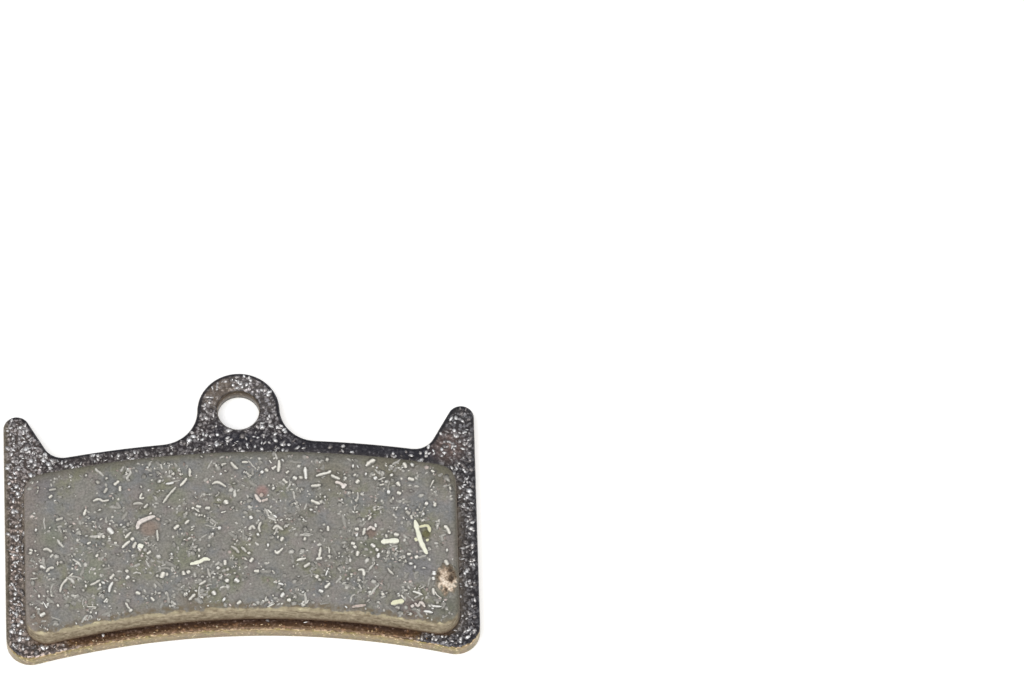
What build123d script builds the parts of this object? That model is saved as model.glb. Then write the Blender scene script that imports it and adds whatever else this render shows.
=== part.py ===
from build123d import *
import os
from math import cos, radians, sin, sqrt, tan

# A disc brake pad: a blanked and coated steel plate with a friction block moulded onto it.
# The origin is on the axis of the pin hole, in the plane of the plate's back.
# +Z points to the friction side, and +Y from the friction block to the pin tab.

# Driving dimensions, in millimetres and degrees.

# Backing plate. Its upper and lower edges are arcs about the axis of the rotor.
plate_width = 47.4
plate_depth = 21.2
plate_thickness = 1.8
plate_upper_radius = 106.2
plate_corner_radius = 2.45
plate_front_round = 0.3
plate_back_bevel = 0.2

# Pin tab in the middle of the upper edge.
tab_radius = 4.15
tab_overlap = 0.8
tab_root_radius = 3.8
pin_hole_diameter = 4.2
pin_hole_bevel = 0.3

# Ears at the two ends of the upper edge.
ear_height = 5.9
ear_tip_radius = 1.33
ear_flank_angle = 29.6
ear_root_radius = 2.1

# Friction block. The margins are the strips of plate left bare around its foot.
block_height = 2.0
block_side_margin = 1.95
block_upper_margin = 2.2
block_lower_margin = 1.05
block_corner_radius = 2.2
block_draft = 2.0
block_edge_round = 0.3

# Plugs of friction compound that fill two holes in the plate and lock the block to it.
plug_diameter = 5.3
plug_spacing = 30.5
plug_edge_distance = 9.75
plug_recess = 0.15
plug_end_bevel = 0.3

STANDING = (Align.CENTER, Align.CENTER, Align.MIN)

# Places that follow from the driving dimensions.
half_width = plate_width / 2
upper_edge_y = tab_overlap - tab_radius
rotor_axis_y = upper_edge_y - plate_upper_radius
plate_lower_radius = plate_upper_radius - plate_depth


def on_arc(radius, x):
    """Height at x of an arc about the rotor's axis."""
    return rotor_axis_y + sqrt(radius**2 - x**2)


plug_x = plug_spacing / 2
plug_y = on_arc(plate_upper_radius - plug_edge_distance, plug_x)


def arc_band(outer_radius, inner_radius, width):
    """Region between two arcs about the rotor's axis, cut off straight at both sides."""
    ring = Circle(outer_radius) - Circle(inner_radius)
    strip = Rectangle(width, outer_radius, align=(Align.CENTER, Align.MIN))
    return Pos(0, rotor_axis_y) * (ring & strip)


def mirrored_corners(sketch, x, y):
    """The corner of a sketch nearest to a point, and its mirror image on the other side."""
    corners = sketch.vertices()
    return [corners.sort_by_distance((side * x, y, 0))[0] for side in (-1, 1)]


def ear_profile():
    """Ear on the +X side as a triangle with a sharp tip, and the height of that tip."""
    foot_y = on_arc(plate_upper_radius, half_width)
    lean = radians(ear_flank_angle)
    apex_above_tip = ear_tip_radius * ((1 + cos(lean)) / sin(lean) - 1)
    apex_y = foot_y + ear_height + apex_above_tip
    foot_x = half_width - (apex_y - foot_y) * tan(lean)
    outline = Polyline((half_width, apex_y), (foot_x, foot_y), (half_width, foot_y), close=True)
    return make_face(outline), apex_y


def ear_root(apex_y):
    """Point where the flank of the +X ear meets the upper edge of the plate."""
    lean = radians(ear_flank_angle)
    rise = apex_y - rotor_axis_y
    along = half_width * sin(lean) + rise * cos(lean)
    reach = along - sqrt(along**2 - half_width**2 - rise**2 + plate_upper_radius**2)
    return half_width - reach * sin(lean), apex_y - reach * cos(lean)


def tab_root():
    """Point on the +X side where the round of the tab meets the upper edge of the plate."""
    drop = -rotor_axis_y
    y = (plate_upper_radius**2 - tab_radius**2 - drop**2) / (2 * drop)
    return sqrt(tab_radius**2 - y**2), y


def plate_outline():
    """Blanked outline of the plate, with every corner rounded."""
    ear, apex_y = ear_profile()
    band = arc_band(plate_upper_radius, plate_lower_radius, plate_width)
    outline = band + ear + mirror(ear, about=Plane.YZ) + Circle(tab_radius)
    lower_corner = half_width, on_arc(plate_lower_radius, half_width)
    outline = fillet(mirrored_corners(outline, *lower_corner), plate_corner_radius)
    outline = fillet(mirrored_corners(outline, *ear_root(apex_y)), ear_root_radius)
    outline = fillet(mirrored_corners(outline, half_width, apex_y), ear_tip_radius)
    return fillet(mirrored_corners(outline, *tab_root()), tab_root_radius)


def plug_places():
    """Centres of the two plugs, and of the holes that they fill."""
    return Pos(-plug_x, plug_y), Pos(plug_x, plug_y)


def pin_hole():
    """Space that the pin takes up in the tab, wider at both ends where the rims are bevelled."""
    radius = pin_hole_diameter / 2
    bevel = Cone(radius + pin_hole_bevel, radius, pin_hole_bevel, align=STANDING)
    other_bevel = Pos(0, 0, plate_thickness) * Rot(180, 0, 0) * bevel
    return Cylinder(radius, plate_thickness, align=STANDING) + bevel + other_bevel


def make_backing_plate():
    """The front edge has the roll that blanking leaves, and the back edge is bevelled free of burr."""
    plate = extrude(plate_outline(), plate_thickness)
    plate = fillet(plate.faces().sort_by(Axis.Z)[-1].edges(), plate_front_round)
    plate = chamfer(plate.faces().sort_by(Axis.Z)[0].edges(), plate_back_bevel)
    plate -= pin_hole()
    for place in plug_places():
        plate -= place * Cylinder(plug_diameter / 2, plate_thickness, align=STANDING)
    return plate


def block_outline():
    """Outline of the block's foot on the plate."""
    upper_radius = plate_upper_radius - block_upper_margin
    lower_radius = plate_lower_radius + block_lower_margin
    width = plate_width - 2 * block_side_margin
    band = arc_band(upper_radius, lower_radius, width)
    return fillet(band.vertices(), block_corner_radius)


def make_friction_block():
    foot = Pos(0, 0, plate_thickness) * block_outline()
    block = extrude(foot, block_height, taper=block_draft)
    face = block.faces().sort_by(Axis.Z)[-1]
    block = fillet(face.edges(), block_edge_round)
    plug = Cylinder(plug_diameter / 2, plate_thickness - plug_recess, align=STANDING)
    plug = chamfer(plug.edges().sort_by(Axis.Z)[0], plug_end_bevel)
    for place in plug_places():
        block += place * Pos(0, 0, plug_recess) * plug
    return block


nodes = {
    "backing_plate": make_backing_plate(),
    "friction_block": make_friction_block(),
}

os.makedirs("parts", exist_ok=True)
for name, solid in nodes.items():
    export_step(solid, f"parts/{name}.step")
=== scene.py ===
# %% [markdown]
# # A bicycle disc brake pad
# The pad is two pieces: a coated steel plate, and a block of friction compound that is moulded onto it.
# The frame brings both at their real size. This lesson gives them the surfaces that the construction
# leaves plain: a coat of glittering flakes, a ground face full of brass fibres and chips, and the rough
# ends of the two plugs that lock the block into the plate.

# %% Load the frame
from math import acos, ceil, cos, pi, radians, sin, sqrt, tan

import bmesh
import bpy
import numpy as np
from mathutils import Matrix, Vector, noise
from mathutils.geometry import delaunay_2d_cdt


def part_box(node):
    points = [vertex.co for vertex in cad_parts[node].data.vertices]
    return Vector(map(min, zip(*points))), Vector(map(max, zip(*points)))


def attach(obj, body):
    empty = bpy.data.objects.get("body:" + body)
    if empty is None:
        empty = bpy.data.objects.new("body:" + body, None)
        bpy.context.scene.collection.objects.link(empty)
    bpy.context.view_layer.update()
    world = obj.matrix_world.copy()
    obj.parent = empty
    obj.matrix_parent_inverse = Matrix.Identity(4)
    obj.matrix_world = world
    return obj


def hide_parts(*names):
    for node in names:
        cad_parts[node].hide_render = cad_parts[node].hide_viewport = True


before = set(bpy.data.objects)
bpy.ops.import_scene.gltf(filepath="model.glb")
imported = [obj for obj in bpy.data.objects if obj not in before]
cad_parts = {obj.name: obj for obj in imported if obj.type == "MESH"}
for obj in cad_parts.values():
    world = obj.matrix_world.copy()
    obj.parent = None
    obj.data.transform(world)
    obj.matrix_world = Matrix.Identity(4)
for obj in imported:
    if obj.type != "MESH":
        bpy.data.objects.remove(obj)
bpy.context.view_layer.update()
MM = 0.001
plate_low, plate_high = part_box("backing_plate")
block_low, block_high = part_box("friction_block")
front_z = plate_high.z
face_z = block_high.z
print("plate front at", round(front_z / MM, 2), "mm, friction face at", round(face_z / MM, 2), "mm")

# %% [markdown]
# ## The view
# The pad lies on its back and is seen from about 63 degrees above, from so far off that it looks almost
# flat. A long lens gives that view. The camera could be set by eye, but two things that are easy to
# measure fix it better: where the middle of the pin hole lies in the picture, and how many pixels a
# millimetre takes there. The origin of the frame is on the axis of the pin hole, so the rest follows.

# %% Camera
PICTURE_WIDTH, PICTURE_HEIGHT = 1024, 676
PIN_HOLE_PIXEL = (238.64, 417.55)
PIXELS_PER_MM = 9.917
VIEW_ELEVATION = radians(63.12)
VIEW_TURN = radians(1.62)
VIEW_DISTANCE = 1.448
SENSOR_WIDTH = 36.0

view_right = Vector((1, 0, 0))
view_up = Vector((0, sin(VIEW_ELEVATION), cos(VIEW_ELEVATION)))
view_back = Vector((0, -cos(VIEW_ELEVATION), sin(VIEW_ELEVATION)))
pad_turn = Matrix.Rotation(-VIEW_TURN, 3, "Z")


def add_camera():
    """Camera with the pin hole at its pixel and the right number of pixels to a millimetre."""
    across = (PICTURE_WIDTH / 2 - PIN_HOLE_PIXEL[0]) / PIXELS_PER_MM * MM
    upwards = (PIN_HOLE_PIXEL[1] - PICTURE_HEIGHT / 2) / PIXELS_PER_MM * MM
    data = bpy.data.cameras.new("camera")
    data.sensor_width = SENSOR_WIDTH
    data.lens = PIXELS_PER_MM / MM * VIEW_DISTANCE * SENSOR_WIDTH / PICTURE_WIDTH
    data.clip_end = 10
    camera = bpy.data.objects.new("camera", data)
    axes = Matrix((view_right, view_up, view_back)).transposed()
    place = across * view_right + upwards * view_up + VIEW_DISTANCE * view_back
    camera.matrix_world = Matrix.Translation(pad_turn @ place) @ (pad_turn @ axes).to_4x4()
    bpy.context.scene.collection.objects.link(camera)
    bpy.context.scene.camera = camera
    return camera


def on_face(pixel):
    """Point of the ground face that the camera sees at a pixel."""
    focal = camera.data.lens / SENSOR_WIDTH * PICTURE_WIDTH
    ray = Vector((pixel[0] - PICTURE_WIDTH / 2, PICTURE_HEIGHT / 2 - pixel[1], -focal))
    ray = camera.matrix_world.to_3x3() @ ray
    start = camera.matrix_world.translation
    return start + ray * ((face_z - start.z) / ray.z)


camera = add_camera()
print("lens", round(camera.data.lens), "mm, camera at", [round(c, 3) for c in camera.location])

# %% [markdown]
# ## Small helpers for node trees
# Shader trees and geometry trees are built in the same way: a node is made, its settings are set, and
# each input gets either a number or a link. One short function does all of that, and a few more name the
# steps that come most often, so that the trees below read like recipes. Colours are written as the eye
# reads them on a screen, from 0 to 255, and are turned into the linear values that the shader works with.


# %% Node helpers
def add(tree, kind, inputs=None, **settings):
    """New node with its settings and inputs. An input is a number, a colour or another node's output."""
    node = tree.nodes.new(kind)
    for name, value in settings.items():
        setattr(node, name, value)
    for key, value in (inputs or {}).items():
        if isinstance(value, bpy.types.NodeSocket):
            tree.links.new(value, node.inputs[key])
        else:
            node.inputs[key].default_value = value
    return node


def calc(tree, operation, *values):
    """Output of a Math node."""
    return add(tree, "ShaderNodeMath", dict(enumerate(values)), operation=operation).outputs[0]


def ease(tree, value, start, end):
    """0 below start and 1 above end, or the other way round, with a soft step between."""
    inputs = {"Value": value, "From Min": start, "From Max": end}
    return add(tree, "ShaderNodeMapRange", inputs, interpolation_type="SMOOTHSTEP").outputs[0]


def blend(tree, share, first, second):
    """Mix of two colours."""
    inputs = {0: share, 6: first, 7: second}
    return add(tree, "ShaderNodeMix", inputs, data_type="RGBA").outputs[2]


def times(tree, first, second):
    """Product of two values."""
    return calc(tree, "MULTIPLY", first, second)


def times_plus(tree, value, factor, more):
    """A value times a factor, plus some more."""
    return calc(tree, "MULTIPLY_ADD", value, factor, more)


def vector(tree, operation, *values, **named):
    """Output of a Vector Math node."""
    inputs = dict(enumerate(values)) | named
    node = add(tree, "ShaderNodeVectorMath", inputs, operation=operation)
    return node.outputs["Value" if operation in ("LENGTH", "DISTANCE") else 0]


def axis(tree, values, letter):
    """One coordinate of a vector."""
    return add(tree, "ShaderNodeSeparateXYZ", {0: values}).outputs[letter]


def upward(tree, height):
    """Vector that points up by a height."""
    return add(tree, "ShaderNodeCombineXYZ", {2: height}).outputs[0]


def colour(red, green, blue):
    """Linear colour of a screen colour."""
    channels = [channel / 255 for channel in (red, green, blue)]
    linear = [c / 12.92 if c <= 0.04045 else ((c + 0.055) / 1.055) ** 2.4 for c in channels]
    return (*linear, 1.0)


def colour_row(*shades):
    """Linear colours of a row of screen colours."""
    return [colour(*shade) for shade in shades]


def new_material(name):
    """Empty finish, its tree and the inputs of its shader."""
    material = bpy.data.materials.new(name)
    material.use_nodes = True
    tree = material.node_tree
    return material, tree, tree.nodes["Principled BSDF"].inputs


def new_group(name, kind, inputs, outputs):
    """Empty node group with named sockets, and its two end nodes."""
    group = bpy.data.node_groups.new(name, kind)
    for label, sort in inputs.items():
        group.interface.new_socket(label, in_out="INPUT", socket_type="NodeSocket" + sort)
    for label, sort in outputs.items():
        group.interface.new_socket(label, in_out="OUTPUT", socket_type="NodeSocket" + sort)
    return group, add(group, "NodeGroupInput").outputs, add(group, "NodeGroupOutput").inputs


print("a screen grey of 128 is", round(colour(128, 128, 128)[0], 3), "in linear light")

# %% [markdown]
# ## Floor and light
# The pad lies on a white sheet under broad, soft light, so its shadow is only a thin dark line round it.
# A wide disc serves as the sheet. Its own colour is nearly white, and for rays that come straight from
# the camera or by way of a reflection it glows a little, which takes it to pure white where the light is
# full and still leaves the shadow. The sky is a plain dome, a little darker towards the far side, and
# two large lamps stand at the left and in front.

# %% Stage
FLOOR_RADIUS = 2.4
FLOOR_SIDES = 96
FLOOR_WHITE = (0.86, 0.86, 0.855, 1)
FLOOR_PALE = (0.88, 0.88, 0.88, 1)
FLOOR_FIBRES = 40.0
FLOOR_GLOW = 0.46
SKY_STRENGTH = 0.56
SKY_NEAR = (1.0, 1.0, 1.0, 1)
SKY_FAR = (0.45, 0.47, 0.52, 1)


def floor_material():
    """White sheet that looks fully white to the camera and in reflections."""
    material, tree, shader = new_material("white_sheet")
    shader["Roughness"].default_value = 0.9
    shader["Specular IOR Level"].default_value = 0.1
    coords = add(tree, "ShaderNodeTexCoord").outputs["Object"]
    fibre = add(tree, "ShaderNodeTexNoise", {"Vector": coords, "Scale": FLOOR_FIBRES}).outputs["Fac"]
    tree.links.new(blend(tree, fibre, FLOOR_WHITE, FLOOR_PALE), shader["Base Color"])
    path = add(tree, "ShaderNodeLightPath").outputs
    seen = calc(tree, "MAXIMUM", path["Is Camera Ray"], path["Is Glossy Ray"])
    seen = calc(tree, "MAXIMUM", seen, path["Is Transmission Ray"])
    shader["Emission Color"].default_value = (1, 1, 1, 1)
    tree.links.new(times(tree, seen, FLOOR_GLOW), shader["Emission Strength"])
    return material


def add_floor():
    """Disc in the plane of the plate's back."""
    bm = bmesh.new()
    bmesh.ops.create_circle(bm, cap_ends=True, radius=FLOOR_RADIUS, segments=FLOOR_SIDES)
    data = bpy.data.meshes.new("floor")
    bm.to_mesh(data)
    bm.free()
    floor = bpy.data.objects.new("floor", data)
    floor.location.z = plate_low.z
    data.materials.append(floor_material())
    bpy.context.scene.collection.objects.link(floor)


def add_sky():
    """Soft dome, darker towards the far side."""
    world = bpy.data.worlds.new("sky")
    bpy.context.scene.world = world
    world.use_nodes = True
    tree = world.node_tree
    direction = add(tree, "ShaderNodeTexCoord").outputs["Generated"]
    parts = add(tree, "ShaderNodeSeparateXYZ", {0: direction}).outputs
    farness = ease(tree, parts["Y"], 0.1, 0.9)
    sky = tree.nodes["Background"].inputs
    tree.links.new(blend(tree, farness, SKY_NEAR, SKY_FAR), sky["Color"])
    sky["Strength"].default_value = SKY_STRENGTH


def add_lamp(name, place, size, watts):
    """Square lamp that faces the pad."""
    data = bpy.data.lights.new(name, "AREA")
    data.size = size
    data.energy = watts
    lamp = bpy.data.objects.new(name, data)
    lamp.location = place
    lamp.rotation_euler = Vector(place).to_track_quat("Z", "Y").to_euler()
    bpy.context.scene.collection.objects.link(lamp)


bpy.context.scene.view_settings.view_transform = "Standard"
add_floor()
add_sky()
add_lamp("key_lamp", (-0.45, -0.4, 1.3), 0.9, 8.5)
add_lamp("front_lamp", (0.2, -1.1, 0.9), 0.8, 4)

# %% [markdown]
# ## A net of fine triangles
# Both pieces need a surface with real grain: pebbles in the coat, pits in the ground face. Grain needs
# small, even triangles, and the frame's own flat faces are a few long ones. So each flat face is filled
# anew: its outline stays, a honeycomb of points is laid inside, and a constrained Delaunay net joins
# them.


# %% Filling a flat face
def honeycomb(low, high, spacing):
    """Points of a regular triangular net that covers a box."""
    row_height = spacing * sqrt(3) / 2
    rows = np.arange(low[1], high[1], row_height)
    columns = np.arange(low[0], high[0], spacing)
    x, y = np.meshgrid(columns, rows)
    x[1::2] += spacing / 2
    return np.column_stack((x.ravel(), y.ravel()))


def net(outline, edges, points):
    """Triangles that join an outline and points inside it. The outline's points come first."""
    corners = [Vector(p) for p in outline] + [Vector(p) for p in points]
    _, _, faces, sources, _, _ = delaunay_2d_cdt(corners, edges, [], 1, 1e-9)
    order = [source[0] for source in sources]
    return [[order[i] for i in face] for face in faces]


print("a square millimetre takes", len(honeycomb((0, 0), (1, 1), 0.1)), "points at a spacing of 0.1 mm")


# %% [markdown]
# ## Distance to the edge of the block
# Several effects follow the outline of the block: the fibres stop short of its rim, and resin has bled
# onto the plate along its foot, with painted shade and a painted shadow at the foot itself. One function
# gives the distance of any point to that outline, positive inside. The outline is a band between two arcs
# about the rotor's axis, with straight ends and rounded corners, so the distance is that to a box with
# round corners, bent along the arcs.

# %% Outline of the block
ROTOR_AXIS_Y = -109.55 * MM
BLOCK_LOWER_RADIUS = 86.05 * MM
BLOCK_CORNER = 2.2 * MM
BLOCK_DRAFT = radians(2)
BLOCK_ROUND = 0.3 * MM
OUTLINE_STEP = 0.14 * MM
block_upper_radius = block_high.y - ROTOR_AXIS_Y
block_half_width = block_high.x


def inside_block(x, y):
    """Distance to the outline of the block's foot, positive inside it."""
    radius = np.hypot(x, y - ROTOR_AXIS_Y)
    from_arcs = np.minimum(radius - BLOCK_LOWER_RADIUS, block_upper_radius - radius)
    past_arcs = BLOCK_CORNER - from_arcs
    past_ends = BLOCK_CORNER - (block_half_width - np.abs(x))
    corner = np.hypot(np.maximum(past_arcs, 0), np.maximum(past_ends, 0))
    return BLOCK_CORNER - corner - np.minimum(np.maximum(past_arcs, past_ends), 0)


def arc(centre, radius, start, end, step, outward=1):
    """Points on an arc, without its end, and the outward direction at each."""
    count = ceil(abs(end - start) * radius / step)
    turns = np.linspace(start, end, count, endpoint=False)
    away = np.column_stack((np.cos(turns), np.sin(turns)))
    return np.array(centre) + radius * away, outward * away


def straight(x, start, end, step, outward):
    """Points up or down one end of the block, without the last, and the outward direction."""
    count = ceil(abs(end - start) / step)
    y = np.linspace(start, end, count, endpoint=False)
    return np.column_stack((np.full(count, x), y)), np.tile((outward, 0.0), (count, 1))


def block_outline(step):
    """Points round the block's foot, anticlockwise, and the outward direction at each."""
    x = block_half_width - BLOCK_CORNER
    upper = block_upper_radius - BLOCK_CORNER
    lower = BLOCK_LOWER_RADIUS + BLOCK_CORNER
    upper_y = ROTOR_AXIS_Y + sqrt(upper**2 - x**2)
    lower_y = ROTOR_AXIS_Y + sqrt(lower**2 - x**2)
    upper_turn = acos(x / upper)
    lower_turn = acos(x / lower)
    hub = (0.0, ROTOR_AXIS_Y)
    runs = [
        arc((x, upper_y), BLOCK_CORNER, 0, upper_turn, step),
        arc(hub, block_upper_radius, upper_turn, pi - upper_turn, step),
        arc((-x, upper_y), BLOCK_CORNER, pi - upper_turn, pi, step),
        straight(-block_half_width, upper_y, lower_y, step, -1.0),
        arc((-x, lower_y), BLOCK_CORNER, pi, 2 * pi - lower_turn, step),
        arc(hub, BLOCK_LOWER_RADIUS, pi - lower_turn, lower_turn, step, outward=-1),
        arc((x, lower_y), BLOCK_CORNER, pi + lower_turn, 2 * pi, step),
        straight(block_half_width, lower_y, upper_y, step, 1.0),
    ]
    return np.vstack([run[0] for run in runs]), np.vstack([run[1] for run in runs])


outline, outline_away = block_outline(OUTLINE_STEP)
print("block outline of", len(outline), "points; largest error of the distance",
      f"{np.abs(inside_block(*outline.T)).max() / MM:.4f} mm")

# %% [markdown]
# ## Raised or sunken grain
# The coat on the plate is pebbled, and the ground face of the block has small pits where crumbs broke
# out. Both are the same thing with another sign: round spots in some cells of a Voronoi pattern. A
# geometry tree with named inputs makes either, so it is built once and used twice. It moves points only
# where the attribute called bare says so, which keeps outlines and hidden faces where the frame has them.
# The first cell holds what all the trees of this lesson need.


# %% Helpers for geometry trees
def new_tree(name, sockets):
    """Empty geometry tree that takes a mesh and a material and gives a mesh, and its two end nodes."""
    mesh = {"Geometry": "Geometry"}
    return new_group(name, "GeometryNodeTree", mesh | sockets | {"Material": "Material"}, mesh)


def field(tree, name):
    """Value of a named attribute at each point."""
    return add(tree, "GeometryNodeInputNamedAttribute", {"Name": name}).outputs[0]


def store(tree, geometry, name, value, **settings):
    """Mesh that keeps a value as a named attribute."""
    inputs = {0: geometry, "Name": name, "Value": value}
    return add(tree, "GeometryNodeStoreNamedAttribute", inputs, **settings).outputs[0]


def shift(tree, geometry, offset):
    """Mesh with its points moved."""
    return add(tree, "GeometryNodeSetPosition", {"Geometry": geometry, "Offset": offset}).outputs[0]


def finish_tree(tree, geometry, given, result):
    """Smooth, realized and with its material."""
    smooth = add(tree, "GeometryNodeSetShadeSmooth", {0: geometry}).outputs[0]
    solid = add(tree, "GeometryNodeRealizeInstances", {0: smooth}).outputs[0]
    coated = add(tree, "GeometryNodeSetMaterial", {0: solid, "Material": given["Material"]}).outputs[0]
    tree.links.new(coated, result[0])


print("every tree ends in a plain mesh with its material")


# %% Grain tree
def grain_tree():
    """Geometry tree that lifts or sinks round spots on a fine net."""
    sockets = {"Grain Size": "Float", "Height": "Float", "Coverage": "Float", "Seed": "Float"}
    tree, given, result = new_tree("grain_relief", sockets)
    place = add(tree, "GeometryNodeInputPosition").outputs[0]
    finer = calc(tree, "DIVIDE", 1.0, given["Grain Size"])
    scaled = vector(tree, "SCALE", place, Scale=finer)
    moved = vector(tree, "ADD", scaled, given["Seed"])
    cells = add(tree, "ShaderNodeTexVoronoi", {"Vector": moved, "Scale": 1.0}).outputs
    lot = add(tree, "FunctionNodeSeparateColor", {0: cells["Color"]}).outputs
    chosen = ease(tree, calc(tree, "SUBTRACT", given["Coverage"], lot[0]), 0.0, 0.3)
    spot = times(tree, ease(tree, cells["Distance"], 0.62, 0.08), chosen)
    bare = field(tree, "bare")
    height = times(tree, times(tree, spot, given["Height"]), bare)
    offset = upward(tree, height)
    finish_tree(tree, shift(tree, given["Geometry"], offset), given, result)
    return tree


def run_tree(piece, tree, values):
    """Run a geometry tree on a piece and keep the result as its plain mesh."""
    modifier = piece.modifiers.new(tree.name, "NODES")
    modifier.node_group = tree
    for socket in tree.interface.items_tree:
        if socket.in_out == "INPUT" and socket.name in values:
            modifier[socket.identifier] = values[socket.name]
    depsgraph = bpy.context.evaluated_depsgraph_get()
    made = bpy.data.meshes.new_from_object(piece.evaluated_get(depsgraph))
    piece.modifiers.remove(modifier)
    piece.data = made
    made.name = piece.name
    return piece


def new_piece(name, points, faces, attributes, edges=()):
    """Object at the origin with its place in its mesh, smooth, with point attributes."""
    data = bpy.data.meshes.new(name)
    data.from_pydata(points, edges, faces)
    for label, values in attributes.items():
        layer = data.attributes.new(label, "FLOAT", "POINT")
        layer.data.foreach_set("value", np.asarray(values, np.float32))
    data.shade_smooth()
    data.validate()
    piece = bpy.data.objects.new(name, data)
    bpy.context.scene.collection.objects.link(piece)
    return piece


relief = grain_tree()
print("tree", relief.name, "with", [s.name for s in relief.interface.items_tree if s.in_out == "INPUT"])

# %% [markdown]
# ## Flakes, the effect that both coats share
# A metallic coat is full of flat flakes that lie at slightly different angles, so each one is lighter or
# darker than its neighbour. A Voronoi pattern gives one random colour to each cell, and that colour can
# serve as the shade, the hue and the lean of one flake. The group puts out these values, and each
# material decides what they mean.


# %% Flake group
MIDDLE = (0.5, 0.5, 0.5)


def flake_group():
    """Shade, hue, body and lean of flat flakes of a given size."""
    sockets = {"Vector": "Vector", "Flake Size": "Float", "Raggedness": "Float", "Lean": "Float"}
    given_out = {"Shade": "Float", "Hue": "Float", "Body": "Float", "Normal": "Vector"}
    group, given, result = new_group("flakes", "ShaderNodeTree", sockets, given_out)
    finer = calc(group, "DIVIDE", 1.0, given["Flake Size"])
    scaled = vector(group, "SCALE", given["Vector"], Scale=finer)
    tangle = {"Vector": scaled, "Scale": 1.3, "Detail": 1.0}
    wander = add(group, "ShaderNodeTexNoise", tangle).outputs["Color"]
    centred = vector(group, "SUBTRACT", wander, MIDDLE)
    ragged = vector(group, "SCALE", centred, Scale=given["Raggedness"])
    moved = vector(group, "ADD", scaled, ragged)
    cells = add(group, "ShaderNodeTexVoronoi", {"Vector": moved, "Scale": 1.0}).outputs
    lot = add(group, "ShaderNodeSeparateColor", {0: cells["Color"]}).outputs
    body = ease(group, cells["Distance"], 0.62, 0.2)
    tilt = vector(group, "SUBTRACT", cells["Color"], MIDDLE)
    lean = times(group, given["Lean"], body)
    tilt = vector(group, "SCALE", tilt, Scale=lean)
    surface = add(group, "ShaderNodeNewGeometry").outputs["Normal"]
    tilted = vector(group, "ADD", surface, tilt)
    normal = vector(group, "NORMALIZE", tilted)
    for label, value in zip(given_out, (lot[0], lot[1], body, normal)):
        group.links.new(value, result[label])
    return group


def flakes(tree, coords, size, raggedness, lean):
    """Outputs of the flake group, placed in a material."""
    inputs = {"Vector": coords, "Flake Size": size, "Raggedness": raggedness, "Lean": lean}
    return add(tree, "ShaderNodeGroup", inputs, node_tree=flake_pattern).outputs


def patches(tree, coords, size, detail=2.0):
    """Soft cloudy patches of a given size, from 0 to 1."""
    inputs = {"Vector": coords, "Scale": 1.0 / size, "Detail": detail, "Roughness": 0.55}
    cloud = add(tree, "ShaderNodeTexNoise", inputs).outputs["Fac"]
    return ease(tree, cloud, 0.32, 0.68)


flake_pattern = flake_group()
flake_outputs = [s.name for s in flake_pattern.interface.items_tree if s.in_out == "OUTPUT"]
print("group", flake_pattern.name, "gives", flake_outputs)

# %% [markdown]
# ## The coat on the plate
# Round the rim the plate is a khaki gold, and paler on the back; the rim's gold is a darker copy of the
# back's, as painted shade. On the friction side the coat is a dark, glittering crust. It could be two
# materials on two sets of faces, but the crust goes a little way over the rounded edge, further on the ends
# and the far side than along the lower edge, where it also paints the shade of those rims, and the border
# is uneven. So one material mixes the two coats by the way the surface faces. These are its colours, and
# the places where the coat differs: the tab and the ears are paler, the tab and the left ear also with
# painted light, and the crust is rubbed brown beside the pin hole and at the foot of the right ear.

# %% Colours of the coat
# Crevice colours: painted shade between the pebbles of the crust.
CREVICE_COOL = colour(56, 53, 56)
CREVICE_WARM = colour(92, 81, 76)
CREVICE_PALE = colour(120, 114, 110)
CRUST_BLUE = colour(186, 184, 187)
CRUST_BROWN = colour(208, 189, 179)
# Pale dust from the compound; near the foot of the block it also stands as painted light against the shade
# there.
DUST_AND_LIGHT = colour(166, 154, 140)
# Painted shade on the upper and right rims of the front.
EDGE_SHADE = colour(44, 43, 48)
EDGE_TAN = colour(124, 114, 97)
RUBBED_BROWN = colour(132, 118, 104)
RUBBED_RED = colour(126, 106, 98)
# Bluish dark of the painted shade on the strip behind the block; it also darkens the neck of the tab and a
# place below the pin hole.
DARKENED_BLUE = colour(43, 44, 56)
# Black at the foot of the block is a painted shadow; the resin colours below darken towards the foot as
# painted shade.
FOOT_SHADOW = colour(70, 50, 39)
RESIN_DARK = colour(86, 63, 49)
RESIN_BROWN = colour(106, 81, 55)
RESIN_RED = colour(156, 117, 84)
HOLE_BROWN = colour(92, 80, 67)
HOLE_LIGHT = colour(156, 140, 118)
# Painted shadow along the lower edge of the pin hole's wall.
HOLE_SHADOW = colour(34, 30, 24)
# The rim's gold is a darker copy of the back's gold below: painted shade on the rim.
GOLD_SHADE = colour(112, 98, 62)
GOLD_COAT = colour(165, 149, 92)
# This colour and the back's lightest one below are painted glints on the brightest flakes.
GOLD_GLINT = colour(240, 218, 176)
GOLD_ROSE = colour(156, 126, 100)
# Pale tan grains on the rolled edge, which also paint its highlight.
ROLL_HIGHLIGHT = colour(210, 184, 150)
BACK_SHADE = colour(150, 140, 95)
BACK_COAT = colour(192, 180, 127)
BACK_GLINT = colour(238, 228, 184)
PIN_BEVEL_RADIUS = 2.4 * MM
PIN_RADIUS = 2.1 * MM
RUBBED_PLACE = (-1.9 * MM, 2.0 * MM, front_z)
TAB_PLACE = (0, 2.2 * MM, front_z)
EAR_PLACE = (-22 * MM, -2.5 * MM, front_z)
RIGHT_EAR_PLACE = (22 * MM, -2.5 * MM, front_z)
BROWN_PLACE = (21 * MM, -4.8 * MM, front_z)
RUBBED_REACH = 2.6 * MM
RUBBED_SPOTS = [(RUBBED_PLACE, 0.9 * MM, RUBBED_BROWN), (BROWN_PLACE, 0.6 * MM, RUBBED_RED)]
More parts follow.
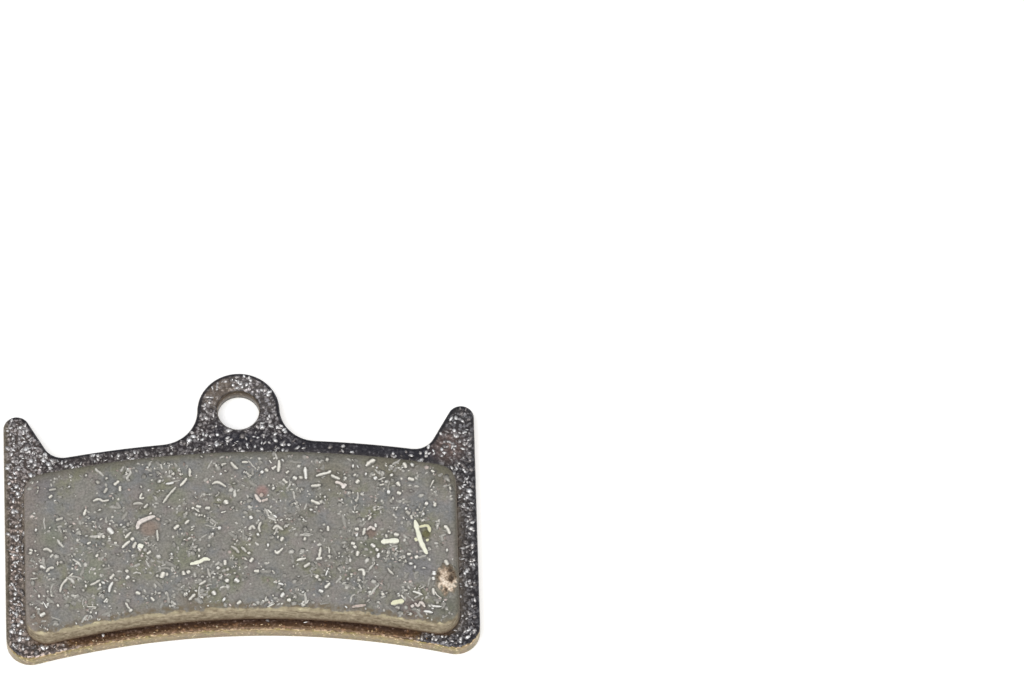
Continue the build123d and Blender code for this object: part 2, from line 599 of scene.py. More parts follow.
# The first layer is dust that is also painted light at the foot of the block; the last is painted shade on
# the upper and right rims.
COAT_LAYERS = [("dust", 0.75, DUST_AND_LIGHT), ("tan_rim", 0.8, EDGE_TAN), ("dark_rim", 0.85, EDGE_SHADE)]
CRUST_GRAIN = 0.4 * MM
GOLD_GRAIN = 0.24 * MM
HOLE_GRAIN = 0.3 * MM
print("crust grains of", round(CRUST_GRAIN / MM, 2), "mm, gold grains of", round(GOLD_GRAIN / MM, 2), "mm")

# %% [markdown]
# ## The dark crust
# Each grain of the crust is one cell of the flake group: its shade lifts it out of the crevice colour. Each
# grain is painted brightest in its middle, a painted highlight on the pebble, and the crevices round it
# are painted shade. Both colours go from cool on the right to warm on the left, as they do on the pad, and
# the grains are painted lighter towards the left, on the tab and on the left ear, as painted light. Over
# that lie painted shade on the strip behind the block, darker to the right, with a darker neck of the tab
# and a darker place below the pin hole; rubbed places; pale dust from the compound, which also stands as
# painted light against the shade at the foot of the block; the tan left edge and the painted shade of the
# upper and right rims; and the brown resin that ran out along the foot of the block, darker towards the
# foot as painted shade and black at the foot as a painted shadow. Attributes of the mesh tell where they
# lie.


# %% Dark coat
def near(tree, coords, place, start, end):
    """1 close to a place and 0 away from it."""
    distance = vector(tree, "DISTANCE", coords, place)
    return ease(tree, distance, end, start)


def mark(tree, name):
    """Value of an attribute of the mesh."""
    return add(tree, "ShaderNodeAttribute", attribute_name=name).outputs["Fac"]


def dark_coat(tree, coords):
    """Colour of the crust on the friction side of the plate."""
    grains = flakes(tree, coords, CRUST_GRAIN, 1.4, 0.0)
    across = axis(tree, coords, "X")
    leftness = ease(tree, across, plate_high.x, 1.5 * plate_low.x)
    upright = axis(tree, coords, "Y")
    lowness = times_plus(tree, ease(tree, upright, -3 * MM, -12 * MM), 0.5, 0.25)
    cloudy = times_plus(tree, patches(tree, coords, 2 * MM), 0.5, lowness)
    on_ear = near(tree, coords, EAR_PLACE, 3 * MM, 6 * MM)
    cloudy = times(tree, cloudy, times_plus(tree, on_ear, -0.5, 1.0))
    grey = blend(tree, times(tree, leftness, cloudy), CRUST_BLUE, CRUST_BROWN)
    # Each grain is painted brightest in its middle and darkest at its edge: a painted highlight on the
    # pebble and painted shade in the crevice round it.
    tone = times(tree, times_plus(tree, grains["Shade"], 0.7, 0.3), grains["Body"])
    # Painted light: the grains are painted lighter towards the left, on the tab and on the left ear.
    lit = times_plus(tree, leftness, 0.85, 0.78)
    on_tab = near(tree, coords, TAB_PLACE, 2.5 * MM, 5.5 * MM)
    lit = times_plus(tree, on_tab, 0.66, lit)
    lit = times_plus(tree, on_ear, 0.3, lit)
    tone = times(tree, tone, lit)
    crevice = blend(tree, leftness, CREVICE_COOL, CREVICE_WARM)
    on_right_ear = near(tree, coords, RIGHT_EAR_PLACE, 2.5 * MM, 5 * MM)
    on_ears = times_plus(tree, on_right_ear, 0.15, times(tree, on_ear, 0.1))
    paler = calc(tree, "MAXIMUM", times(tree, on_tab, 0.5), on_ears)
    ground = blend(tree, tone, blend(tree, paler, crevice, CREVICE_PALE), grey)
    # Painted shade on the strip behind the block, darker to the right; the neck of the tab and a place
    # below the pin hole are darker too.
    ground = blend(tree, times(tree, mark(tree, "soot"), 0.86), ground, DARKENED_BLUE)
    for place, heart, shade in RUBBED_SPOTS:
        rubbed = times(tree, near(tree, coords, place, heart, RUBBED_REACH), 0.6)
        ground = blend(tree, rubbed, ground, shade)
    for name, share, shade in COAT_LAYERS:
        ground = blend(tree, times(tree, mark(tree, name), share), ground, shade)
    # Resin with painted shade: darker towards the foot of the block, and black at the foot as a painted
    # shadow.
    stain = mark(tree, "stain")
    resin = blend(tree, ease(tree, stain, 0.45, 0.85), RESIN_BROWN, RESIN_DARK)
    crumbs = times(tree, ease(tree, grains["Hue"], 0.35, 0.9), grains["Body"])
    resin = blend(tree, times(tree, crumbs, 0.6), resin, RESIN_RED)
    resin = blend(tree, ease(tree, stain, 0.84, 0.98), resin, FOOT_SHADOW)
    return blend(tree, ease(tree, stain, 0.1, 0.6), ground, resin)


print("crust of grains, soot, dust, bare edges and resin")

# %% [markdown]
# ## The gold coat and the pin hole
# The rim has finer flakes than the front, with rosy patches and bright painted glints. Where the front edge
# rolls over, pale tan grains show, painted also as the highlight of the roll. The wall of the pin hole has
# only a thin brown coat, with a painted shadow along its lower edge. One material holds all of them: it
# reads the way the surface faces and the distance to the axis of the hole.


# %% Coat material
def gold_coat(tree, coords, backward, rolled):
    """Colour of the rim of the plate: tan grains with a painted highlight on the roll, and a paler back, of
    which the rim's gold is a darker copy as painted shade.
    """
    fine = flakes(tree, coords, GOLD_GRAIN, 0.6, 0.0)
    # The rim gets a darker copy of the back's gold: painted shade.
    shade = blend(tree, backward, GOLD_SHADE, BACK_SHADE)
    base = blend(tree, fine["Shade"], shade, blend(tree, backward, GOLD_COAT, BACK_COAT))
    rosy = times(tree, patches(tree, coords, 1.2 * MM), 0.55)
    rosy = times(tree, rosy, times_plus(tree, backward, -0.6, 1.0))
    base = blend(tree, rosy, base, GOLD_ROSE)
    grains = ease(tree, patches(tree, coords, 0.45 * MM), 0.35, 0.75)
    # Pale grains on the rolled edge, which also paint the highlight of the roll.
    base = blend(tree, times(tree, grains, rolled), base, ROLL_HIGHLIGHT)
    # Painted glints on the brightest flakes.
    glint = times(tree, ease(tree, fine["Hue"], 0.75, 0.98), fine["Body"])
    return blend(tree, glint, base, blend(tree, backward, GOLD_GLINT, BACK_GLINT))


def hole_coat(tree, coords):
    """Colour of the wall of the pin hole: thin brown coat, with a painted shadow along its lower edge."""
    fine = flakes(tree, coords, HOLE_GRAIN, 1.0, 0.0)
    lit = times(tree, ease(tree, fine["Shade"], 0.5, 1.0), fine["Body"])
    height = axis(tree, coords, "Z")
    wall = blend(tree, times(tree, lit, 0.8), HOLE_BROWN, HOLE_LIGHT)
    # Painted shadow along the lower edge of the wall.
    return blend(tree, ease(tree, height, 0.6 * MM, 0.35 * MM), wall, HOLE_SHADOW)


def coat_material():
    """Both coats of the plate, mixed by the way the surface faces."""
    material, tree, shader = new_material("flake_coat")
    coords = add(tree, "ShaderNodeTexCoord").outputs["Object"]
    flat = vector(tree, "MULTIPLY", coords, (1, 1, 0))
    on_wall = near(tree, flat, (0, 0, 0), PIN_RADIUS + 0.02 * MM, PIN_RADIUS + 0.1 * MM)
    on_bevel = near(tree, flat, (0, 0, 0), PIN_BEVEL_RADIUS, PIN_BEVEL_RADIUS + 0.1 * MM)
    faces = add(tree, "ShaderNodeNewGeometry").outputs["Normal"]
    facing = add(tree, "ShaderNodeSeparateXYZ", {0: faces}).outputs
    # The crust reaches further over the far side and the ends than over the lower edge: crust, and painted
    # shade of those rims.
    wrap = times(tree, ease(tree, facing["Y"], -0.5, -0.1), 0.45)
    wrap = times_plus(tree, on_bevel, 0.35, wrap)
    uneven = times_plus(tree, patches(tree, coords, 0.4 * MM), 0.4, -0.2)
    turned_up = calc(tree, "ADD", calc(tree, "ADD", facing["Z"], wrap), uneven)
    front = times(tree, ease(tree, turned_up, 0.5, 0.76), calc(tree, "SUBTRACT", 1.0, on_wall))
    rolled = ease(tree, facing["Z"], 0.1, 0.45)
    gold = gold_coat(tree, coords, ease(tree, facing["Z"], -0.5, -0.9), rolled)
    gold = blend(tree, on_wall, gold, hole_coat(tree, coords))
    tree.links.new(blend(tree, front, gold, dark_coat(tree, coords)), shader["Base Color"])
    lean = times_plus(tree, front, 0.4, 0.2)
    tree.links.new(flakes(tree, coords, GOLD_GRAIN, 1.2, lean)["Normal"], shader["Normal"])
    shader["Metallic"].default_value = 0.5
    shader["Roughness"].default_value = 0.33
    return material


coat = coat_material()
print("coat", coat.name, "of", len(coat.node_tree.nodes), "nodes")

# %% [markdown]
# ## The plate
# The frame's plate already has the right form: the arcs, the ears, the tab with its pin hole, the rolled
# front edge. What it lacks is the pebbled texture of the coat. So its mesh is copied and merged, and the
# flat front is taken out and filled again with a net that is fine where the plate is bare and coarse
# under the block. The grain tree then lifts the pebbles.

# %% Plate
COAT_NET = 0.1 * MM
HIDDEN_NET = 1.5 * MM
PEBBLE_SIZE = 0.45 * MM
PEBBLE_HEIGHT = 0.08 * MM
PLUG_RADIUS = 2.65 * MM
PLUG_PLACES = [(-15.25 * MM, -14.31 * MM), (15.25 * MM, -14.31 * MM)]
HOLE_MARGIN = 0.05 * MM
SEAM = 1e-7


def open_plate():
    """The frame's plate as one merged mesh, without its flat front."""
    bm = bmesh.new()
    bm.from_mesh(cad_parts["backing_plate"].data)
    bmesh.ops.remove_doubles(bm, verts=bm.verts, dist=SEAM)
    front = [f for f in bm.faces if min(v.co.z for v in f.verts) > front_z - SEAM]
    bmesh.ops.delete(bm, geom=front, context="FACES")
    return bm


def in_plug(points):
    """Which points lie within a plug."""
    return np.any([np.hypot(*(points - place).T) < PLUG_RADIUS for place in PLUG_PLACES], axis=0)


def in_hole(points):
    """Which points lie in the pin hole or in a plug hole."""
    return in_plug(points) | (np.hypot(*points.T) < PIN_BEVEL_RADIUS)


def near_hole(point):
    """Whether a point of the rim belongs to the pin hole or to a plug hole."""
    centres = [(0.0, 0.0)] + PLUG_PLACES
    return min(np.hypot(*(point - np.array(centre))) for centre in centres) < PLUG_RADIUS + HOLE_MARGIN


def to_lines(points, starts, ends):
    """Distance of each point to the nearest of some straight lines."""
    nearest = np.full(len(points), np.inf)
    for start, end in zip(starts, ends):
        along = end - start
        share = np.clip((points - start) @ along / (along @ along), 0, 1)
        nearest = np.minimum(nearest, np.hypot(*(points - start - np.outer(share, along)).T))
    return nearest


def front_points():
    """Points for the front's net: fine where it is bare, coarse where the block covers it."""
    corners = (plate_low.xy, plate_high.xy)
    fine = honeycomb(*corners, COAT_NET)
    fine = fine[inside_block(*fine.T) < COAT_NET]
    coarse = honeycomb(*corners, HIDDEN_NET)
    coarse = coarse[inside_block(*coarse.T) > HIDDEN_NET]
    points = np.vstack((fine, coarse))
    return points[~in_hole(points)]


def make_plate():
    """The plate with a fine net on its front, and which of its points are on the rim of that front."""
    bm = open_plate()
    rim = [e for e in bm.edges if e.is_boundary]
    rim_points = sorted({v for e in rim for v in e.verts}, key=lambda v: v.index)
    rank = {v: i for i, v in enumerate(rim_points)}
    edges = [(rank[e.verts[0]], rank[e.verts[1]]) for e in rim]
    edge = np.array([v.co.xy for v in rim_points])
    points = front_points()
    faces = net(edge, edges, points)
    every = np.vstack((edge, points))
    centres = every[np.array(faces)].mean(axis=1)
    faces = [face for face, out in zip(faces, in_hole(centres)) if not out]
    corners = rim_points + [None] * len(points)
    for face in faces:
        for i in face:
            corners[i] = corners[i] or bm.verts.new((*every[i], front_z))
        bm.faces.new([corners[i] for i in face])
    bm.verts.index_update()
    outer = [e for e, middle in zip(rim, edge[np.array(edges)].mean(axis=1)) if not near_hole(middle)]
    return bm, [v.index for v in rim_points], [[v.index for v in e.verts] for e in outer]


bm, rim, outer_rim = make_plate()
places = np.array([v.co for v in bm.verts])
triangles = [[v.index for v in f.verts] for f in bm.faces]
bm.free()
starts, ends = places[np.array(outer_rim), :2].transpose(1, 0, 2)
margin = np.where(places[:, 2] > front_z - SEAM, to_lines(places[:, :2], starts, ends), 0.0)
print("plate net of", len(places), "points")

# %% [markdown]
# ## Where the coat is bare, stained, shaded or rubbed
# Numbers at each point steer what follows. They could be painted by hand, but each follows from a
# distance, so they are worked out. The number called bare is 1 where the front may get its pebbles.
# Another tells how much resin lies there, with painted shade in it: most in the narrow strip along the
# lower foot of the block, darkest at the foot as painted shade and shadow, less round the other sides.
# Dust lies close to the block, and also serves as painted light against the shade at its foot. Painted
# shade lies on the upper strip, darker to the right, and the neck of the tab and a place below the pin hole
# are darker too. Two more mark the tan edge at the left and the painted shade on the upper and right rims.
# Sown and gilt tell how thick the bright flakes and the gilt flakes of the resin strip lie.

# %% Attributes of the plate
RESIN_SHADE_REACH = 0.5 * MM
RESIN_SHADE_HALF_WIDTH = 17.5 * MM
THIN_STRIP = (12.5 * MM, 5 * MM)
RESIN_SHADE_FADE = 0.5 * MM
FOOT_RESIN_SHADE_REACH = 0.15 * MM
DUST_AND_LIGHT_REACH = 0.45 * MM
PLATE_LOWER_RADIUS = 85.0 * MM
EDGE_BAND = 0.6 * MM
SHADED_RIM_WIDTH = 0.18 * MM
FLAKE_MARGIN = 0.03 * MM
BELOW_HOLE_PLACE = (-1.9 * MM, -2.3 * MM)
NECK_Y = -3.3 * MM

x, y, z = places.T


def bell(place, reach):
    """1 at a place, fading away with the distance from it."""
    return np.exp(-((x - place[0]) ** 2 + (y - place[1]) ** 2) / reach ** 2)


gap = -inside_block(x, y)
radius = np.hypot(x, y - ROTOR_AXIS_Y)
bare = (z > front_z - SEAM) & (gap > 0)
bare[rim] = False
# Resin along the foot of the block, most in the strip below it and less round the other sides; close to the
# foot it is painted shade and shadow as well.
in_strip = (radius < BLOCK_LOWER_RADIUS) / (1 + np.exp((np.abs(x) - RESIN_SHADE_HALF_WIDTH) / RESIN_SHADE_FADE))
from_low = np.maximum(radius - BLOCK_LOWER_RADIUS, 0)
round_foot = 0.45 * np.exp(-np.maximum(gap, 0) / FOOT_RESIN_SHADE_REACH - from_low / (1.5 * MM))
# Dust round the block, away from its lower side; at the foot it also stands as painted light against the
# shade there.
dust = np.exp(-np.maximum(gap, 0) / DUST_AND_LIGHT_REACH) * (1 - np.exp(-from_low / (2 * MM)))
left_side = x < plate_low.x + EDGE_BAND
low_side = radius < PLATE_LOWER_RADIUS + 0.8 * MM
# Painted shade on the rims of the front: full on the upper ones, weaker on the right, none on the left and
# lower ones.
at_rim = np.clip(1 - margin / SHADED_RIM_WIDTH, 0, 1)
dark_rim = at_rim * ~left_side * ~low_side * (1 - 0.45 * (x > plate_high.x - EDGE_BAND))
tan_rim = np.clip(1.3 - (x - plate_low.x) / (0.5 * MM), 0, 1)
stain = np.maximum(round_foot, in_strip * np.exp(-np.maximum(gap - 0.2 * MM, 0) / (2 * RESIN_SHADE_REACH)))
rubbed = bell(RUBBED_PLACE, 1.5 * MM)
thin = 0.85 * np.exp(-(((x - THIN_STRIP[0]) / THIN_STRIP[1]) ** 2)) * (radius > block_upper_radius)
sown = bare * (1 - 0.6 * rubbed) * (1 - thin) * (1 - np.clip(2 * in_strip, 0, 0.95))
sown *= np.clip((margin - FLAKE_MARGIN) / (0.15 * MM), 0.1, 1)
gilded = bare * in_strip * np.clip((gap - 0.3 * MM) / (0.4 * MM), 0, 1)
# Painted shade on the strip behind the block, darker to the right, and darker places on the neck of the tab
# and below the pin hole.
above = radius - block_upper_radius
to_right = 1 / (1 + np.exp(-x / (2 * MM)))
strip = np.exp(-(((above - 1.1 * MM) / (1.6 * MM)) ** 2)) * (above > 0) * (np.abs(x) < 20 * MM)
by_hole = bell(BELOW_HOLE_PLACE, 1.2 * MM)
neck = np.exp(-(((y - NECK_Y) / MM) ** 2) - (x / (3.5 * MM)) ** 2)
soot = np.maximum(strip * (0.55 + 0.45 * to_right), np.maximum(0.7 * by_hole, neck))
left_ear = bell(EAR_PLACE, 3 * MM)
right_ear = bell(RIGHT_EAR_PLACE, 3 * MM)
sown = sown * (1 - 0.8 * neck) * (1 - 0.75 * by_hole) * (1 + 0.5 * left_ear) * (1 - 0.35 * right_ear)
marks = {
    "bare": bare, "stain": stain, "sown": sown, "gilt": gilded, "soot": soot, "dust": dust,
    "dark_rim": dark_rim, "tan_rim": tan_rim,
}
print("bare points", int(bare.sum()), "of", len(bare))

# %% [markdown]
# ## The coated plate
# The marks go onto the mesh, and the grain tree raises the pebbles on its bare front. The back is flat
# and has few, large triangles, which smooth shading would blur into dark smudges round the holes. So its
# faces are set flat, and only the rest stays smooth.

# %% Coated plate
BACK_FACING = -0.9

plate = new_piece("coated_plate", places, triangles, marks)
plate.data.materials.append(coat)
grain = {"Grain Size": PEBBLE_SIZE, "Height": PEBBLE_HEIGHT, "Coverage": 0.9, "Material": coat}
run_tree(plate, relief, grain)
for face in plate.data.polygons:
    face.use_smooth = face.normal.z > BACK_FACING
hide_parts("backing_plate")
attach(plate, "root")
print("plate of", len(plate.data.polygons), "faces")

# %% [markdown]
# ## The compound
# The face of the block was ground flat, so it shows a section through the compound: grey resin and
# powder in cloudy patches, greenish here and brownish or bluish there. Noise gives most of these. The
# largest clouds, and the stains round the largest flecks, belong to this one pad, so they have a place in
# the picture and a reach in millimetres.

# %% Colours of the compound
MATRIX_GREY = colour(140, 137, 130)
MATRIX_GREEN = colour(132, 132, 107)
MATRIX_BROWN = colour(145, 137, 133)
MATRIX_BLUE = colour(130, 131, 132)
MATRIX_MAUVE = colour(141, 129, 122)
# Olive of the painted shade along the top and right edges of the face.
RIM_OLIVE_SHADE = colour(101, 97, 83)
STAINS = {
    "lump": (448, 580, 1.7, colour(132, 112, 94)),
    "curved_fibre": (149, 528, 1.4, colour(147, 130, 118)),
    "star": (262, 491, 0.9, colour(160, 130, 123)),
    "small_arc": (371, 533, 0.8, colour(132, 114, 104)),
    "long_fibre": (426, 534, 0.75, colour(104, 101, 62)),
}
CLOUDS = {
    # The olive clouds along the top, darkest at the top right corner, add to the painted shade of that
    # edge.
    "olive_top": (330, 476, 3.0, colour(126, 122, 106)),
    "olive_top_right": (385, 466, 2.6, colour(118, 113, 96)),
    "olive_corner": (444, 474, 2.4, colour(106, 102, 86)),
    "green_by_chip": (371, 545, 2.0, colour(130, 131, 111)),
    "green_middle": (183, 556, 2.8, colour(135, 136, 118)),
    "green_upper": (177, 497, 1.6, colour(136, 137, 119)),
    "green_low": (233, 584, 1.5, colour(136, 138, 118)),
    "green_left": (50, 536, 2.0, colour(130, 132, 116)),
    "green_low_left": (93, 572, 2.2, colour(135, 138, 120)),
    "dim_left": (40, 486, 3.0, colour(124, 120, 120)),
    "blue_upper": (145, 470, 3.0, colour(127, 128, 129)),
    "brown_low_left": (40, 618, 1.8, colour(130, 114, 94)),
    "brown_low": (195, 602, 2.0, colour(132, 122, 110)),
    "red_low_right": (414, 609, 2.0, colour(128, 110, 103)),
    "green_corner": (446, 607, 2.0, colour(106, 108, 92)),
    "slate_right": (418, 565, 2.6, colour(130, 129, 133)),
}
# Tan of the lower rim here and cream below: partly scuffs, partly a painted highlight of the rounded rim.
RIM_TAN_HIGHLIGHT = colour(174, 163, 134)
# Skin of the lower wall, painted as lit; the side colours below are the same skin painted in shade.
LIT_SKIN_TAN = colour(190, 176, 150)
LIT_SKIN_DARK = colour(112, 97, 75)
SIDE_SHADED_PALE = colour(152, 142, 128)
SIDE_SHADED_DARK = colour(94, 85, 75)
RIM_CREAM_HIGHLIGHT = colour(222, 211, 172)
# Painted shade at the foot of the walls.
FOOT_SHADE = colour(112, 88, 70)
BAND_BROWN = colour(122, 110, 90)
PLUG_BROWN = colour(132, 112, 86)
CLOUD_SIZE = 2.6 * MM
GRIT_SIZE = 0.22 * MM
BUMP_SIZE = 0.3 * MM
print("ground face with", len(CLOUDS), "clouds and", len(STAINS), "stains of its own")

# %% [markdown]
# ## Ground face and moulded walls
# The ground face has its clouds, a dim olive edge along the top and the right that is painted shade, a
# mauve one at the left, and a fine grit all through. The walls still have the skin of the mould, streaked
# along their length: tan along the lower edge, greyer and darker on the other sides, one skin painted lit
# below and in shade round the rest, and darker at the foot as painted shade. The attribute called inset,
# the distance from the edge, tells skin from ground face, and low, the distance from the lower edge, lets
# the skin reach over the rim on that side, where it turns tan and cream in streaks: partly scuffs, partly a
# painted highlight of the rounded rim.


# %% Compound material
def ground_compound(tree, coords):
    """Grey of the ground face: cloudy patches with a fine grit."""
    cloud = {"Vector": coords, "Scale": 1 / CLOUD_SIZE, "Detail": 3.0, "Roughness": 0.6}
    tangle = add(tree, "ShaderNodeTexNoise", cloud).outputs["Color"]
    lots = add(tree, "ShaderNodeSeparateColor", {0: tangle}).outputs
    ground = MATRIX_GREY
    for lot, shade in zip(lots, (MATRIX_GREEN, MATRIX_BROWN, MATRIX_BLUE)):
        ground = blend(tree, times(tree, ease(tree, lot, 0.45, 0.68), 0.75), ground, shade)
    for spots, heart, strength in ((CLOUDS, 0.2, 0.7), (STAINS, 0.3, 0.85)):
        for u, v, reach, shade in spots.values():
            tinted = near(tree, coords, on_face((u, v)), heart * reach * MM, reach * MM)
            ground = blend(tree, times(tree, tinted, strength), ground, shade)
    ground = blend(tree, times(tree, mark(tree, "leftmost"), 0.7), ground, MATRIX_MAUVE)
    # Painted shade along the top and right edges of the face.
    ground = blend(tree, mark(tree, "dimmed"), ground, RIM_OLIVE_SHADE)
    fine = {"Vector": coords, "Scale": 1 / GRIT_SIZE, "Detail": 2.0, "Roughness": 0.7}
    grit = add(tree, "ShaderNodeTexNoise", fine).outputs["Fac"]
    grit = times_plus(tree, patches(tree, coords, 4.5 * MM), 0.06, grit)
    gap = mark(tree, "gap")
    shade = times_plus(tree, gap, -0.36, times_plus(tree, grit, 1.3, 0.3))
    return vector(tree, "SCALE", ground, Scale=shade)


def moulded_skin(tree, coords, shaded_side):
    """Tan of the lower wall and grey of the others, one skin painted lit and in shade, streaked along them.
    """
    stretched = vector(tree, "MULTIPLY", coords, (0.3, 0.3, 1.6))
    streaks = patches(tree, stretched, 0.35 * MM, 4.0)
    spots = patches(tree, coords, 0.4 * MM, 4.0)
    darker = times_plus(tree, streaks, 0.5, times(tree, spots, 0.5))
    # The lower wall gets the skin painted as lit, the other walls the same skin painted in shade.
    light = blend(tree, shaded_side, LIT_SKIN_TAN, SIDE_SHADED_PALE)
    skin = blend(tree, darker, light, blend(tree, shaded_side, LIT_SKIN_DARK, SIDE_SHADED_DARK))
    # Painted shade at the foot of each wall.
    height = axis(tree, coords, "Z")
    at_foot = ease(tree, height, front_z + 0.7 * MM, front_z - 0.1 * MM)
    return blend(tree, at_foot, skin, FOOT_SHADE)


def compound_material():
    """Ground compound on the face, moulded skin on the walls."""
    material, tree, shader = new_material("friction_compound")
    coords = add(tree, "ShaderNodeTexCoord").outputs["Object"]
    inset, low, plug = (mark(tree, name) for name in ("inset", "low", "plug"))
    on_low_edge = ease(tree, low, 1.0 * MM, 0.5 * MM)
    ground = ground_compound(tree, coords)
    uneven = times_plus(tree, patches(tree, coords, 0.5 * MM, 3.0), 0.9, 0.15)
    band = times(tree, ease(tree, low, 1.25 * MM, 0.7 * MM), uneven)
    ground = blend(tree, band, ground, BAND_BROWN)
    skin = moulded_skin(tree, coords, ease(tree, low, 1.4 * MM, 2.2 * MM))
    # Tan and cream streaks over the lower rim: partly scuffs, partly a painted highlight of the rounded
    # rim.
    patchy = times(tree, patches(tree, coords, 1.5 * MM, 5.0), on_low_edge)
    rim_share = times(tree, ease(tree, inset, 0.04 * MM, 0.16 * MM), patchy)
    skin = blend(tree, rim_share, skin, RIM_TAN_HIGHLIGHT)
    long = vector(tree, "MULTIPLY", coords, (0.35, 1.0, 1.0))
    scuffs_and_highlight = times(tree, ease(tree, patches(tree, long, 0.3 * MM, 3.0), 0.6, 1.0), rim_share)
    skin = blend(tree, times(tree, scuffs_and_highlight, 0.8), skin, RIM_CREAM_HIGHLIGHT)
    ragged = times_plus(tree, patches(tree, coords, 1.1 * MM, 5.0), 0.36 * MM, 0.02 * MM)
    reach = times_plus(tree, on_low_edge, ragged, 0.04 * MM)
    onto_face = ease(tree, calc(tree, "SUBTRACT", inset, reach), 0.0, 0.14 * MM)
    surface = blend(tree, onto_face, skin, ground)
    surface = blend(tree, times(tree, plug, 0.6), surface, PLUG_BROWN)
    tree.links.new(surface, shader["Base Color"])
    rough = times_plus(tree, onto_face, -0.55, 0.6)
    lumpy = {"Vector": coords, "Scale": 1 / BUMP_SIZE, "Detail": 3.0, "Roughness": 0.6}
    height = add(tree, "ShaderNodeTexNoise", lumpy).outputs["Fac"]
    bumps = {"Strength": rough, "Distance": 0.12 * MM, "Height": height}
    tree.links.new(add(tree, "ShaderNodeBump", bumps).outputs[0], shader["Normal"])
    shader["Roughness"].default_value = 0.7
    shader["Specular IOR Level"].default_value = 0.3
    return material


compound = compound_material()
print("compound", compound.name, "of", len(compound.node_tree.nodes), "nodes")

# %% [markdown]
# ## Fibres that anyone would notice
# Many fibres and chips are so large that this pad would be known by them: a long brass fibre and a lump
# of torn copper at the right, a curved copper fibre at the left. They are drawn one by one. Each is a short
# line of points in the picture, with a width in millimetres and a tint, and a ray from the camera through
# each point finds its place on the face. The lines are needed twice: here they keep the strewn flecks at
# a distance, and later a geometry tree turns them into flat fibres.

